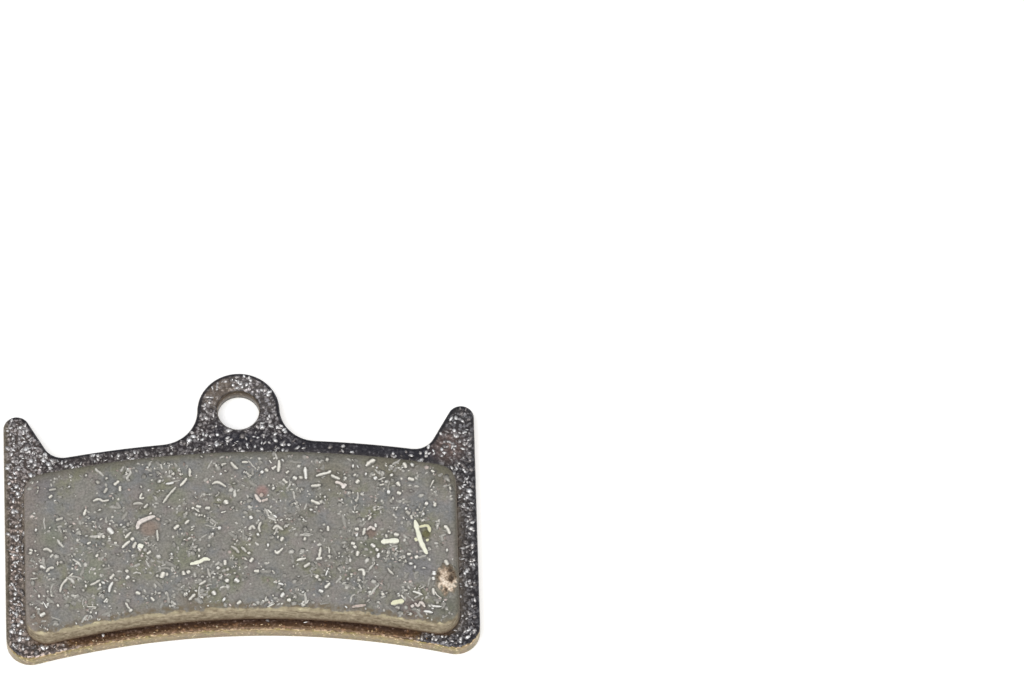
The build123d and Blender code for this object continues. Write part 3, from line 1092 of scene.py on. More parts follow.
# %% Drawn lines
FRESH_LINES = {
    "long_fibre": (0.5, 0.8, [(415, 520), (418, 532), (421, 542), (427, 554)]),
    "long_fibre_splinter": (0.3, 0.35, [(419, 527), (423, 526), (428, 526), (430, 532)]),
    "long_fibre_chip": (0.34, 0.5, [(415, 538), (417, 541)]),
    "long_fibre_speck": (0.34, 0.4, [(427, 539), (428, 541)]),
    "broad_chip": (0.6, 0.85, [(381, 542), (390, 541), (399, 541)]),
    "rim_chip": (0.5, 0.5, [(391, 604), (397, 602), (404, 601)]),
    "bar": (0.42, 0.8, [(190, 564), (199, 562), (205, 559), (210, 560)]),
    "below_curve": (0.5, 0.9, [(138, 545), (143, 547)]),
}
BRASS_LINES = {
    "left_dot": (0.36, 0.9, [(35, 530), (37, 530)]),
    "left_bar": (0.38, 0.8, [(40, 566), (46, 568)]),
    "left_bar_tail": (0.3, 0.3, [(46, 572), (50, 568), (54, 568)]),
    "left_arch": (0.28, 0.3, [(43, 550), (47, 549), (52, 552)]),
    "upper_left_tick": (0.28, 0.6, [(49, 498), (52, 495)]),
    "upper_left_dash": (0.26, 0.1, [(49, 490), (56, 489)]),
    "pale_dash": (0.28, 0.15, [(56, 520), (63, 518)]),
    "left_cluster": (0.26, 0.4, [(93, 501), (99, 499), (103, 501), (109, 500)]),
    "twin_upper": (0.36, 0.6, [(114, 485), (119, 481)]),
    "twin_lower": (0.3, 0.6, [(120, 486), (120, 491)]),
    "upper_leaf": (0.3, 0.15, [(104, 493), (107, 488)]),
    "upper_hook": (0.24, 0.6, [(142, 493), (140, 498), (144, 498)]),
    "pale_wave": (0.28, 0.1, [(133, 504), (138, 503), (143, 504)]),
    "over_curve": (0.3, 0.3, [(144, 508), (148, 504)]),
    "left_lump": (0.55, 0.9, [(108, 528), (113, 534)]),
    "left_lump_crumb": (0.42, 0.5, [(98, 538), (101, 533)]),
    "left_lump_speck": (0.36, 0.4, [(103, 538), (104, 535)]),
    "curve_pink": (0.3, 0.5, [(125, 538), (131, 532)]),
    "curve_dot": (0.42, 0.7, [(131, 540), (134, 538)]),
    "curve_leaf": (0.36, 0.3, [(133, 548), (136, 542)]),
    "curve_tick": (0.32, 0.5, [(147, 554), (151, 551)]),
    "curve_side": (0.26, 0.3, [(157, 530), (158, 541)]),
    "slanted_stroke": (0.32, 0.7, [(122, 548), (126, 544), (130, 541)]),
    "left_dash": (0.3, 0.6, [(87, 544), (91, 542)]),
    "left_pair": (0.32, 0.6, [(114, 543), (117, 543)]),
    "small_tick": (0.3, 0.6, [(96, 557), (98, 554)]),
    "lower_left_fibre": (0.27, 0.4, [(60, 592), (62, 585), (67, 579), (73, 573)]),
    "lower_left_head": (0.36, 0.4, [(110, 579), (114, 574)]),
    "lower_left_stroke": (0.34, 0.9, [(109, 592), (110, 587), (113, 582)]),
    "pair_upper": (0.36, 0.4, [(126, 572), (128, 570)]),
    "pair_lower": (0.36, 0.8, [(126, 579), (129, 576)]),
    "low_dot": (0.36, 0.8, [(85, 586), (87, 586)]),
    "low_dash": (0.24, 0.3, [(90, 585), (95, 583), (100, 580)]),
    "low_dot_right": (0.34, 0.7, [(99, 585), (101, 585)]),
    "corner_dot": (0.36, 0.8, [(38, 596), (40, 596)]),
    "corner_lump": (0.42, 0.8, [(40, 616), (45, 613)]),
    "corner_speck": (0.36, 0.7, [(57, 606), (59, 605)]),
    "rim_dot": (0.34, 0.9, [(95, 613), (97, 613)]),
    "low_flake": (0.34, 0.6, [(136, 592), (140, 594)]),
    "low_flake_right": (0.3, 0.6, [(151, 597), (154, 601)]),
    "low_lump": (0.5, 0.6, [(164, 572), (161, 578)]),
    "thin_fibre": (0.28, 0.35, [(163, 503), (168, 496), (176, 487)]),
    "thin_fibre_end": (0.3, 0.6, [(180, 486), (183, 483), (187, 478)]),
    "top_hook": (0.3, 0.3, [(231, 462), (234, 466), (238, 469)]),
    "top_dash": (0.28, 0.5, [(242, 462), (248, 462)]),
    "middle_arch": (0.27, 0.4, [(212, 484), (217, 482), (222, 484), (226, 487)]),
    "middle_blob": (0.5, 0.7, [(225, 500), (227, 504)]),
    "row_left": (0.3, 0.6, [(192, 509), (194, 507)]),
    "row_middle": (0.32, 0.6, [(196, 506), (201, 507)]),
    "row_right": (0.34, 0.4, [(205, 508), (210, 508)]),
    "bright_dot": (0.46, 0.95, [(218, 528), (221, 528)]),
    "under_star": (0.42, 0.9, [(250, 516), (252, 519)]),
    "nest_arch": (0.34, 0.3, [(249, 530), (252, 526), (255, 529)]),
    "nest_post": (0.3, 0.3, [(261, 522), (259, 527), (260, 532)]),
    "nest_dot": (0.42, 0.9, [(257, 535), (259, 534)]),
    "middle_arc": (0.32, 0.3, [(273, 529), (277, 526), (283, 530)]),
    "middle_tick": (0.34, 0.5, [(281, 541), (283, 537)]),
    "middle_dot": (0.36, 0.7, [(277, 537), (279, 537)]),
    "bird_dot": (0.4, 0.95, [(267, 545), (269, 545)]),
    "middle_bird": (0.3, 0.7, [(275, 550), (277, 553), (283, 548)]),
    "wave_left": (0.28, 0.15, [(231, 546), (236, 549), (239, 553)]),
    "wave_right": (0.28, 0.2, [(241, 547), (244, 549), (246, 552)]),
    "wave_dot": (0.34, 0.5, [(248, 554), (250, 552)]),
    "over_bar": (0.38, 0.7, [(198, 556), (200, 556)]),
    "right_pair": (0.36, 0.6, [(174, 529), (179, 525)]),
    "right_pair_mate": (0.3, 0.5, [(185, 524), (189, 520)]),
    "under_bar_left": (0.4, 0.5, [(183, 571), (184, 575)]),
    "under_bar_right": (0.4, 0.5, [(187, 573), (190, 571)]),
    "low_pair": (0.4, 0.8, [(217, 567), (219, 569)]),
    "low_post": (0.34, 0.5, [(225, 560), (225, 565)]),
    "low_slant": (0.34, 0.6, [(250, 562), (253, 558)]),
    "low_level": (0.36, 0.6, [(254, 571), (259, 571)]),
    "low_twin_left": (0.44, 0.8, [(226, 582), (228, 579)]),
    "low_twin_right": (0.46, 0.9, [(235, 579), (239, 582)]),
    "great_dot": (0.48, 1.0, [(223, 599), (225, 600)]),
    "low_tooth": (0.4, 0.8, [(213, 591), (215, 595)]),
    "low_stroke": (0.32, 0.4, [(189, 600), (195, 594)]),
    "rim_stroke": (0.36, 0.5, [(237, 604), (241, 601)]),
    "low_leaf": (0.44, 0.9, [(281, 597), (284, 593)]),
    "low_leaf_dot": (0.38, 0.7, [(287, 600), (291, 600)]),
    "top_dot": (0.42, 0.9, [(261, 471), (263, 473)]),
    "top_speck": (0.36, 0.5, [(265, 469), (268, 471)]),
    "top_slant": (0.36, 0.7, [(272, 469), (276, 466)]),
    "top_post": (0.32, 0.5, [(279, 460), (279, 466), (278, 472)]),
    "top_flake": (0.34, 0.6, [(286, 473), (289, 471)]),
    "top_chip": (0.42, 0.8, [(293, 477), (297, 479)]),
    "top_leaf": (0.34, 0.4, [(283, 479), (287, 483)]),
    "upright_stroke": (0.36, 0.9, [(305, 467), (306, 479)]),
    "level_stroke": (0.32, 0.4, [(311, 486), (321, 485)]),
    "upper_right_stroke": (0.34, 0.7, [(316, 476), (322, 474), (327, 473), (331, 471)]),
    "upper_right_tail": (0.3, 0.5, [(331, 475), (335, 477), (340, 479)]),
    "under_level": (0.34, 0.6, [(311, 500), (315, 502), (320, 504)]),
    "fan_blade": (0.4, 0.6, [(366, 466), (370, 462), (375, 460)]),
    "fan_dot": (0.38, 0.9, [(352, 466), (354, 466)]),
    "fan_dot_low": (0.38, 0.9, [(365, 474), (367, 474)]),
    "fan_flake": (0.4, 0.95, [(374, 479), (377, 477)]),
    "fan_leaf": (0.4, 0.6, [(356, 483), (359, 480)]),
    "right_speck": (0.38, 0.8, [(391, 474), (392, 476)]),
    "right_dot": (0.5, 1.0, [(387, 492), (390, 492)]),
    "right_tick": (0.36, 0.6, [(397, 482), (400, 486)]),
    "right_flake": (0.38, 0.7, [(397, 492), (401, 494)]),
    "right_chip": (0.42, 0.6, [(408, 478), (414, 480)]),
    "right_hook": (0.34, 0.5, [(403, 463), (405, 465), (406, 468)]),
    "right_grain": (0.4, 0.8, [(425, 503), (428, 504)]),
    "fibre_head": (0.36, 0.9, [(405, 508), (407, 509)]),
    "fibre_head_blob": (0.42, 0.1, [(406, 511), (410, 514)]),
    "fibre_head_tick": (0.3, 0.4, [(411, 515), (412, 519)]),
    "stub": (0.38, 0.7, [(328, 526), (328, 531)]),
    "arc_mate": (0.38, 0.7, [(355, 529), (359, 529)]),
    "arc_post": (0.34, 0.4, [(363, 535), (365, 528)]),
    "web_upper": (0.4, 0.7, [(351, 543), (355, 544)]),
    "web_lower": (0.38, 0.7, [(354, 548), (356, 546)]),
    "web_post": (0.34, 0.6, [(358, 551), (357, 556)]),
    "chip_mate": (0.4, 0.8, [(371, 544), (375, 547)]),
    "chip_tick": (0.34, 0.8, [(376, 548), (378, 551)]),
    "chip_stroke": (0.36, 0.9, [(378, 558), (379, 553)]),
    "chip_neighbour": (0.4, 0.6, [(394, 534), (399, 535)]),
    "stand_post": (0.3, 0.5, [(321, 547), (320, 552), (319, 558)]),
    "stand_foot": (0.36, 0.7, [(316, 559), (322, 558)]),
    "stand_slant": (0.34, 0.4, [(304, 567), (310, 563)]),
    "low_right_slant": (0.34, 0.7, [(325, 588), (330, 583)]),
    "low_right_chip": (0.4, 0.9, [(319, 590), (323, 592)]),
    "low_right_leaf": (0.4, 0.6, [(316, 578), (318, 575)]),
    "hooked_stroke": (0.34, 0.7, [(358, 570), (363, 570), (364, 576)]),
    "trio_left": (0.36, 0.7, [(407, 554), (411, 554)]),
    "trio_right": (0.4, 0.7, [(415, 558), (418, 556)]),
    "trio_low": (0.4, 0.9, [(414, 567), (416, 567)]),
    "far_stroke": (0.36, 0.6, [(444, 526), (447, 528), (450, 534)]),
    "far_dot": (0.38, 0.8, [(446, 550), (448, 550)]),
    "by_lump_upper": (0.42, 1.0, [(434, 571), (434, 575)]),
    "by_lump_lower": (0.38, 0.8, [(433, 577), (434, 580)]),
    "over_lump": (0.42, 0.4, [(445, 560), (448, 565)]),
    "under_lump": (0.32, 0.4, [(433, 588), (434, 595)]),
}
COPPER_LINES = {
    "curved_fibre": (0.44, 0.9, [(137, 529), (139, 523), (144, 520), (149, 518), (155, 516)]),
    "curved_fibre_knot": (0.34, 0.95, [(150, 513), (151, 514)]),
    "curved_fibre_tip": (0.26, 0.6, [(156, 518), (160, 520)]),
    "star_left": (0.34, 0.85, [(255, 494), (258, 499), (261, 502)]),
    "star_right": (0.28, 0.75, [(262, 501), (268, 499)]),
    "star_upper": (0.4, 0.6, [(260, 494), (263, 496)]),
    "squiggle_left": (0.34, 0.9, [(411, 607), (414, 605)]),
    "squiggle_right": (0.32, 0.85, [(415, 603), (418, 606), (421, 602), (425, 607)]),
    "upper_right_curl": (0.3, 0.86, [(335, 482), (340, 483), (345, 487)]),
    "upper_right_lump": (0.34, 0.95, [(342, 488), (346, 484)]),
    "small_arc": (0.3, 0.9, [(367, 530), (371, 527), (375, 530)]),
    "rim_line": (0.28, 0.65, [(352, 607), (357, 606), (366, 605)]),
}


def drawn_segments():
    """Both ends of each straight part of the drawn lines, on the face."""
    starts, ends = [], []
    for lines in (FRESH_LINES, BRASS_LINES, COPPER_LINES):
        for _, _, pixels in lines.values():
            spots = [on_face(pixel).xy for pixel in pixels]
            starts.extend(spots[:-1])
            ends.extend(spots[1:])
    return np.array(starts), np.array(ends)


print("drawn lines of", len(drawn_segments()[0]), "straight parts")

# %% [markdown]
# ## The block
# The block is one moulding. Its walls lean in by the draft, its rim is rounded and a little crumbled, and
# its two plugs go through the plate and end just short of the back, with a rough, broken end. Here it is
# built from loops: the outline is repeated up the wall and over the rim, each time a little further in,
# and the face is filled with a net. This cell makes the loops and the store that the mesh grows in.

# %% Loops of the block
FACE_NET = 0.125 * MM
WALL_ROWS = 12
RIM_ROWS = 6
WALL_ROUGHNESS = 0.03 * MM
RIM_CRUMBLE = 0.1 * MM
CRUMB_SIZE = 0.7 * MM


def lumps(points, size):
    """Soft random number at each point, from 0 to 1."""
    return np.array([0.5 + 0.5 * noise.noise(Vector(p) / size) for p in points])


def wall_loops():
    """Inset and height of each loop of the block, and how far it may crumble."""
    height = face_z - front_z
    top_inset = height * tan(BLOCK_DRAFT)
    rises = np.linspace(0, height - BLOCK_ROUND, WALL_ROWS)
    rows = [(rise * tan(BLOCK_DRAFT), front_z + rise, WALL_ROUGHNESS) for rise in rises]
    for turn in np.linspace(0, pi / 2, RIM_ROWS + 1)[1:]:
        inset = top_inset + BLOCK_ROUND * (1 - cos(turn))
        depth = WALL_ROUGHNESS + RIM_CRUMBLE * sin(turn)
        rows.append((inset, face_z - BLOCK_ROUND * (1 - sin(turn)), depth))
    return rows


class Shell:
    """Points, faces and attributes of a mesh that grows loop by loop."""

    def __init__(self):
        self.points = []
        self.faces = []
        self.marks = {"inset": [], "plug": []}

    def add_points(self, points, inset, plug=0.0):
        """Add points, and give the number of the first."""
        start = len(self.points)
        self.points.extend(map(tuple, points))
        self.marks["inset"].extend(np.broadcast_to(inset, len(points)))
        self.marks["plug"].extend(np.broadcast_to(plug, len(points)))
        return start

    def join(self, first, second, count):
        """Faces between two loops of equal count."""
        for i in range(count):
            j = (i + 1) % count
            self.faces.append((first + i, first + j, second + j, second + i))


def raised(points, z):
    """Points of a plane at a height, or each at its own."""
    return np.column_stack((points, np.broadcast_to(z, len(points))))


def add_walls(shell):
    """Loops from the foot to the edge of the flat face. Gives the first points of the two ends."""
    count = len(outline)
    starts = []
    for inset, z, depth in wall_loops():
        crumbled = depth * lumps(raised(outline, z), CRUMB_SIZE) if starts else 0.0
        ring = outline - np.reshape(inset + crumbled, (-1, 1)) * outline_away
        starts.append(shell.add_points(raised(ring, z), inset))
        if len(starts) > 1:
            shell.join(starts[-2], starts[-1], count)
    return starts[0], starts[-1]


def add_face(shell, start):
    """Fine net over the ground face."""
    count = len(outline)
    edge = np.array(shell.points[start:start + count])[:, :2]
    inner = honeycomb(edge.min(axis=0), edge.max(axis=0), FACE_NET)
    depth = inside_block(*inner.T)
    room = wall_loops()[-1][0] + WALL_ROUGHNESS + RIM_CRUMBLE + FACE_NET / 2
    inner = inner[depth > room]
    first = shell.add_points(raised(inner, face_z), inside_block(*inner.T))
    loop = [(i, (i + 1) % count) for i in range(count)]
    for face in net(edge, loop, inner):
        shell.faces.append([start + i if i < count else first + i - count for i in face])


shell = Shell()
foot, edge = add_walls(shell)
add_face(shell, edge)
print("walls and face of", len(shell.faces), "faces")

# %% [markdown]
# ## Plugs and foot
# Each plug is two loops of circles and a rough net at its end. The foot of the block, which lies on the
# plate, is filled with a coarse net that leaves the two plugs open, so the block is one closed skin.

# %% Plugs and foot
PLUG_SIDES = 72
PLUG_BEVEL = 0.3 * MM
PLUG_ROUGHNESS = 0.12 * MM
PLUG_CRUMBS = 0.5 * MM


def circle(place, radius):
    """Points round a plug."""
    turns = np.linspace(0, 2 * pi, PLUG_SIDES, endpoint=False)
    return np.array(place) + radius * np.column_stack((np.cos(turns), np.sin(turns)))


def add_plug(shell, place):
    """One plug, from the foot of the block down to its broken end. Gives its first point."""
    end_z = block_low.z
    mouth = shell.add_points(raised(circle(place, PLUG_RADIUS), front_z), 0.0, 0.5)
    neck = shell.add_points(raised(circle(place, PLUG_RADIUS), end_z + PLUG_BEVEL), 0.0, 0.5)
    end = circle(place, PLUG_RADIUS - PLUG_BEVEL)
    lip = shell.add_points(raised(end, end_z), 0.0, 1.0)
    shell.join(neck, mouth, PLUG_SIDES)
    shell.join(lip, neck, PLUG_SIDES)
    inner = honeycomb(end.min(axis=0), end.max(axis=0), FACE_NET)
    inner = inner[np.hypot(*(inner - place).T) < PLUG_RADIUS - PLUG_BEVEL - FACE_NET]
    broken = end_z + PLUG_ROUGHNESS * (1.2 - 2 * lumps(raised(inner, end_z), PLUG_CRUMBS))
    first = shell.add_points(raised(inner, broken), 0.0, 1.0)
    loop = [(i, (i + 1) % PLUG_SIDES) for i in range(PLUG_SIDES)]
    for face in net(end, loop, inner):
        shell.faces.append([lip + i if i < PLUG_SIDES else first + i - PLUG_SIDES for i in face[::-1]])
    return mouth


def add_foot(shell, foot, mouths):
    """Net over the foot of the block, open at the plugs."""
    loops = [(foot, len(outline))] + [(mouth, PLUG_SIDES) for mouth in mouths]
    numbers = [start + i for start, count in loops for i in range(count)]
    edges = []
    for _, count in loops:
        done = len(edges)
        edges.extend((done + i, done + (i + 1) % count) for i in range(count))
    rim_points = np.array([shell.points[i] for i in numbers])[:, :2]
    faces = np.array(net(rim_points, edges, []))
    outside = ~in_plug(rim_points[faces].mean(axis=1))
    shell.faces.extend([numbers[i] for i in face[::-1]] for face in faces[outside])


mouths = [add_plug(shell, place) for place in PLUG_PLACES]
add_foot(shell, foot, mouths)
print("with plugs and foot", len(shell.faces), "faces")

# %% [markdown]
# ## Where flecks may lie in the block
# Marks at each point steer the block's material and the sowing. Flecks lie on the flat face, away from
# its rim, from the drawn lines and from the stains, and on the broken ends of the plugs. They are sparse
# at the upper left. The marks called dimmed and leftmost are the dark edge of the face along the top and
# the right, which is painted shade, and its mauve edge at the left.
# With them on the mesh, the grain tree sinks the pits.

# %% Marks and pits of the block
RIM_MARGIN = 0.6 * MM
LINE_MARGIN = 0.35 * MM
DIM_TOP = 1.3 * MM
DIM_RIGHT = 0.7 * MM
MAUVE_WIDTH = 2.5 * MM
SPARSE_PLACE = (-14 * MM, -9 * MM)
SPARSE_REACH = (7 * MM, 5 * MM)
PIT_SIZE = 0.8 * MM
PIT_DEPTH = 0.06 * MM

points = np.array(shell.points)
inset = np.array(shell.marks["inset"])
plug = np.array(shell.marks["plug"])
from_axis = np.hypot(points[:, 0], points[:, 1] - ROTOR_AXIS_Y)
low = from_axis - BLOCK_LOWER_RADIUS
bare = inset > RIM_MARGIN
on_top = points[:, 2] > face_z - BLOCK_ROUND
clear = to_lines(points[:, :2], *drawn_segments()) > LINE_MARGIN
sown = (bare | (plug > 0.9)) & (clear | ~on_top)
for u, v, reach, _ in STAINS.values():
    middle = np.array(on_face((u, v)).xy)
    sown &= (np.hypot(*(points[:, :2] - middle).T) > 0.75 * reach * MM) | ~on_top
# Painted shade along the top and the right edges of the face.
dimmed = np.clip(1 - (block_upper_radius - from_axis) / DIM_TOP, 0, 1) * on_top
dim_right = np.clip(1 - (block_half_width - points[:, 0]) / DIM_RIGHT, 0, 1) * on_top
dimmed = np.maximum(dimmed, dim_right)
leftmost = np.clip(1 - (points[:, 0] + block_half_width) / MAUVE_WIDTH, 0, 1) * on_top
sparse = (((points[:, :2] - SPARSE_PLACE) / SPARSE_REACH) ** 2).sum(axis=1)
sown = sown * (1 - 0.65 * np.exp(-sparse))
marks = {
    "inset": inset, "plug": plug, "low": low, "bare": bare, "sown": sown,
    "dimmed": dimmed, "leftmost": leftmost,
}
block = new_piece("compound_block", points, shell.faces, marks)
block.data.materials.append(compound)
pits = {"Grain Size": PIT_SIZE, "Height": -PIT_DEPTH, "Coverage": 0.3, "Seed": 7.0, "Material": compound}
run_tree(block, relief, pits)
print("block of", len(block.data.polygons), "faces")

# %% [markdown]
# ## Fibres, chips and flakes
# Chopped brass fibres and small chips run all through the compound, and grinding lays them bare. The crust
# on the plate is full of bright flakes. There are far too many to place one by one, so geometry trees sow
# them. They go by an attribute of the mesh, gather in loose clumps, and give each fleck a number of its
# own, called tint, from which the material picks its colour. This cell holds what the trees share.


# %% Sowing
CLUMP_SIZE = 2.5 * MM
SMALL_MORE_OFTEN = 2.2


def sow(tree, given):
    """Points where a named attribute allows them, in loose clumps."""
    sown = field(tree, given["Where"])
    cloud = {"Scale": 1 / CLUMP_SIZE, "Detail": 2.0}
    thick = ease(tree, add(tree, "ShaderNodeTexNoise", cloud).outputs["Fac"], 0.35, 0.65)
    swing = times(tree, times_plus(tree, thick, 2.0, -1.0), given["Clumping"])
    share = times(tree, sown, calc(tree, "ADD", swing, 1.0))
    density = times(tree, given["Density"], share)
    inputs = {"Mesh": given["Geometry"], "Density": density, "Seed": given["Seed"]}
    return add(tree, "GeometryNodeDistributePointsOnFaces", inputs).outputs["Points"]


def chance(tree, low, high, seed):
    """Random number for each piece."""
    inputs = {2: low, 3: high, "Seed": seed}
    return add(tree, "FunctionNodeRandomValue", inputs, data_type="FLOAT").outputs[1]


def skewed(tree, low, high, seed):
    """Random size for each piece, more often small than large."""
    lot = calc(tree, "POWER", chance(tree, 0.0, 1.0, seed), SMALL_MORE_OFTEN)
    return times_plus(tree, lot, calc(tree, "SUBTRACT", high, low), low)


def lay(tree, points, shape, scale, tilt):
    """Copies of a shape on the points, each turned at random and with a tint of its own."""
    leans = [times(tree, chance(tree, -1.0, 1.0, seed), tilt) for seed in (6, 7)]
    turn = {0: leans[0], 1: leans[1], 2: chance(tree, 0.0, 2 * pi, 1)}
    turn = add(tree, "ShaderNodeCombineXYZ", turn).outputs[0]
    rotation = add(tree, "FunctionNodeEulerToRotation", {0: turn}).outputs[0]
    inputs = {"Points": points, "Instance": shape, "Rotation": rotation, "Scale": scale}
    copies = add(tree, "GeometryNodeInstanceOnPoints", inputs).outputs[0]
    for label, seed in (("tint", 2), ("girth", 3)):
        copies = store(tree, copies, label, chance(tree, 0.0, 1.0, seed), domain="INSTANCE")
    return add(tree, "GeometryNodeRealizeInstances", {0: copies}).outputs[0]


def stray(tree, geometry, size, amount):
    """Move points about in the plane of the face, by a soft random amount."""
    wander = add(tree, "ShaderNodeTexNoise", {"Scale": 1 / size, "Detail": 1.0}).outputs["Color"]
    centred = vector(tree, "SUBTRACT", wander, MIDDLE)
    flat = vector(tree, "MULTIPLY", centred, (1, 1, 0))
    offset = vector(tree, "SCALE", flat, Scale=amount)
    return shift(tree, geometry, offset)


print("clumps of about", round(CLUMP_SIZE / MM, 1), "mm")

# %% [markdown]
# ## Chips, fibres and drawn lines
# A chip is a squashed ball of few faces, made ragged by moving its points about. A fibre is a bent line
# with a round section, pressed nearly flat into the face. The broader it is at a point, the higher it
# stands there, so two fibres that cross do not share one flat top. The third tree presses drawn lines
# flat in the same way. Each tree keeps an attribute called core, which grows from the edge of a fleck to
# its middle.

# %% Chips and fibres
FLECK_RISE = 0.05 * MM
FRAY_SIZE = 0.3 * MM
CHIP_WANDER = 0.2 * MM
ROD_WANDER = 0.22 * MM
STREWN_POINTS = 6
DRAWN_POINTS = 12
SOWING_SOCKETS = {"Where": "String", "Density": "Float", "Clumping": "Float", "Seed": "Int"}


def chip_tree():
    """Geometry tree that sows flat, ragged chips."""
    sizes = {"Smallest": "Float", "Largest": "Float", "Thickness": "Float", "Tilt": "Float"}
    tree, given, result = new_tree("strewn_chips", SOWING_SOCKETS | sizes)
    ball = add(tree, "GeometryNodeMeshIcoSphere", {"Radius": 0.5, "Subdivisions": 1}).outputs[0]
    place = add(tree, "GeometryNodeInputPosition").outputs[0]
    flat = vector(tree, "MULTIPLY", place, (2, 2, 0))
    out = vector(tree, "LENGTH", flat)
    core = calc(tree, "SUBTRACT", 1.0, times(tree, out, out))
    ball = store(tree, ball, "core", core)
    size = skewed(tree, given["Smallest"], given["Largest"], 4)
    narrow = times(tree, size, chance(tree, 0.3, 0.85, 5))
    scale = add(tree, "ShaderNodeCombineXYZ", {0: size, 1: narrow, 2: given["Thickness"]}).outputs[0]
    chips = lay(tree, sow(tree, given), ball, scale, given["Tilt"])
    chips = stray(tree, chips, CHIP_WANDER, 0.24 * MM)
    finish_tree(tree, chips, given, result)
    return tree


def flat_rods(tree, curves, girth):
    """Curves as rods with tapered ends, pressed nearly flat into the face."""
    place = add(tree, "GeometryNodeInputPosition").outputs[0]
    height = axis(tree, place, 2)
    curves = store(tree, curves, "lie", height)
    along = add(tree, "GeometryNodeSplineParameter").outputs["Factor"]
    ends = calc(tree, "ABSOLUTE", times_plus(tree, along, 2.0, -1.0))
    frayed = add(tree, "ShaderNodeTexNoise", {"Scale": 1 / FRAY_SIZE, "Detail": 1.0}).outputs["Fac"]
    width = times(tree, girth, ease(tree, ends, 1.3, 0.65))
    width = times(tree, width, times_plus(tree, frayed, 1.2, 0.45))
    curves = store(tree, curves, "wide", width)
    section = add(tree, "GeometryNodeCurvePrimitiveCircle", {"Resolution": 8, "Radius": 0.5}).outputs[0]
    inputs = {"Curve": curves, "Profile Curve": section, "Scale": width, "Fill Caps": True}
    rods = add(tree, "GeometryNodeCurveToMesh", inputs).outputs[0]
    lie = field(tree, "lie")
    rise = calc(tree, "SUBTRACT", height, lie)
    wide = field(tree, "wide")
    upright = calc(tree, "DIVIDE", rise, times(tree, wide, 0.5))
    level = calc(tree, "SUBTRACT", 1.0, times(tree, upright, upright))
    core = calc(tree, "SUBTRACT", 1.0, calc(tree, "SQRT", calc(tree, "MAXIMUM", level, 0.0)))
    rods = store(tree, rods, "core", core)
    top = times_plus(tree, wide, 0.1, 0.5 * FLECK_RISE)
    pressed = calc(tree, "MINIMUM", calc(tree, "MAXIMUM", rise, times(tree, top, -1.0)), top)
    offset = upward(tree, calc(tree, "SUBTRACT", pressed, rise))
    return shift(tree, rods, offset)


def fibre_tree():
    """Geometry tree that sows flat, bent fibres."""
    sizes = {"Shortest": "Float", "Longest": "Float", "Girth": "Float", "Bend": "Float"}
    tree, given, result = new_tree("strewn_fibres", SOWING_SOCKETS | sizes)
    ends = {"Start": (-0.5, 0, 0), "End": (0.5, 0, 0)}
    line = add(tree, "GeometryNodeCurvePrimitiveLine", ends).outputs[0]
    line = add(tree, "GeometryNodeResampleCurve", {"Curve": line, "Count": STREWN_POINTS}).outputs[0]
    length = skewed(tree, given["Shortest"], given["Longest"], 4)
    fibres = lay(tree, sow(tree, given), line, length, 0.0)
    fibres = stray(tree, fibres, 1.2 * MM, given["Bend"])
    girth = field(tree, "girth")
    girth = times(tree, times_plus(tree, girth, 0.8, 0.6), given["Girth"])
    rods = stray(tree, flat_rods(tree, fibres, girth), ROD_WANDER, 0.14 * MM)
    finish_tree(tree, rods, given, result)
    return tree


def drawn_tree():
    """Geometry tree that turns drawn lines into flat fibres."""
    tree, given, result = new_tree("drawn_fibres", {})
    lines = add(tree, "GeometryNodeMeshToCurve", {0: given["Geometry"]}).outputs[0]
    lines = add(tree, "GeometryNodeCurveSplineType", {0: lines}, spline_type="CATMULL_ROM").outputs[0]
    lines = add(tree, "GeometryNodeResampleCurve", {"Curve": lines, "Count": DRAWN_POINTS}).outputs[0]
    girth = field(tree, "girth")
    rods = stray(tree, flat_rods(tree, lines, girth), ROD_WANDER, 0.1 * MM)
    finish_tree(tree, rods, given, result)
    return tree


fibre_drawer = drawn_tree()
fibre_sower = fibre_tree()
chip_sower = chip_tree()
print("trees", fibre_sower.name, chip_sower.name, fibre_drawer.name)

# %% [markdown]
# ## Brass, chalk, copper and glitter
# The fibres and most chips are brass, dulled to a cream colour, and the largest ones shine fresh. Others
# are grey as chalk, dark as graphite, rosy, or copper. The flakes on the plate go from grey to white, and
# those in the resin strip are gilt; the palest of both are painted glints. The torn lump's row runs from
# painted shade to painted highlight. One function makes all of these finishes from a row of colours, and
# the tint of each fleck decides where in the row it falls. Towards its edge a fleck fades to the colour
# of what it lies in. What was ground together with the face catches the light as the face does, so the
# normal of such a fleck is drawn towards straight up, or straight down on the ends of the plugs.

# %% Fleck materials
FRESH_BRASS_ROW = colour_row((188, 184, 150), (234, 231, 192), (252, 251, 222), (255, 255, 244))
BRASS_ROW = colour_row((190, 186, 177), (232, 228, 217), (250, 246, 234), (255, 254, 250))
CHALK_ROW = colour_row((150, 147, 140), (166, 163, 155), (188, 185, 177), (226, 223, 214))
GRAPHITE_ROW = colour_row((98, 94, 87), (110, 107, 99), (122, 119, 111))
ROSY_ROW = colour_row((150, 136, 128), (176, 156, 148), (236, 220, 212))
COPPER_ROW = colour_row((80, 58, 42), (150, 131, 118), (214, 197, 186), (255, 247, 240))
# The lump's row runs from painted shade in its folds to painted highlight.
LUMP_ROW = colour_row((60, 44, 28), (122, 104, 84), (198, 175, 152), (255, 240, 220))
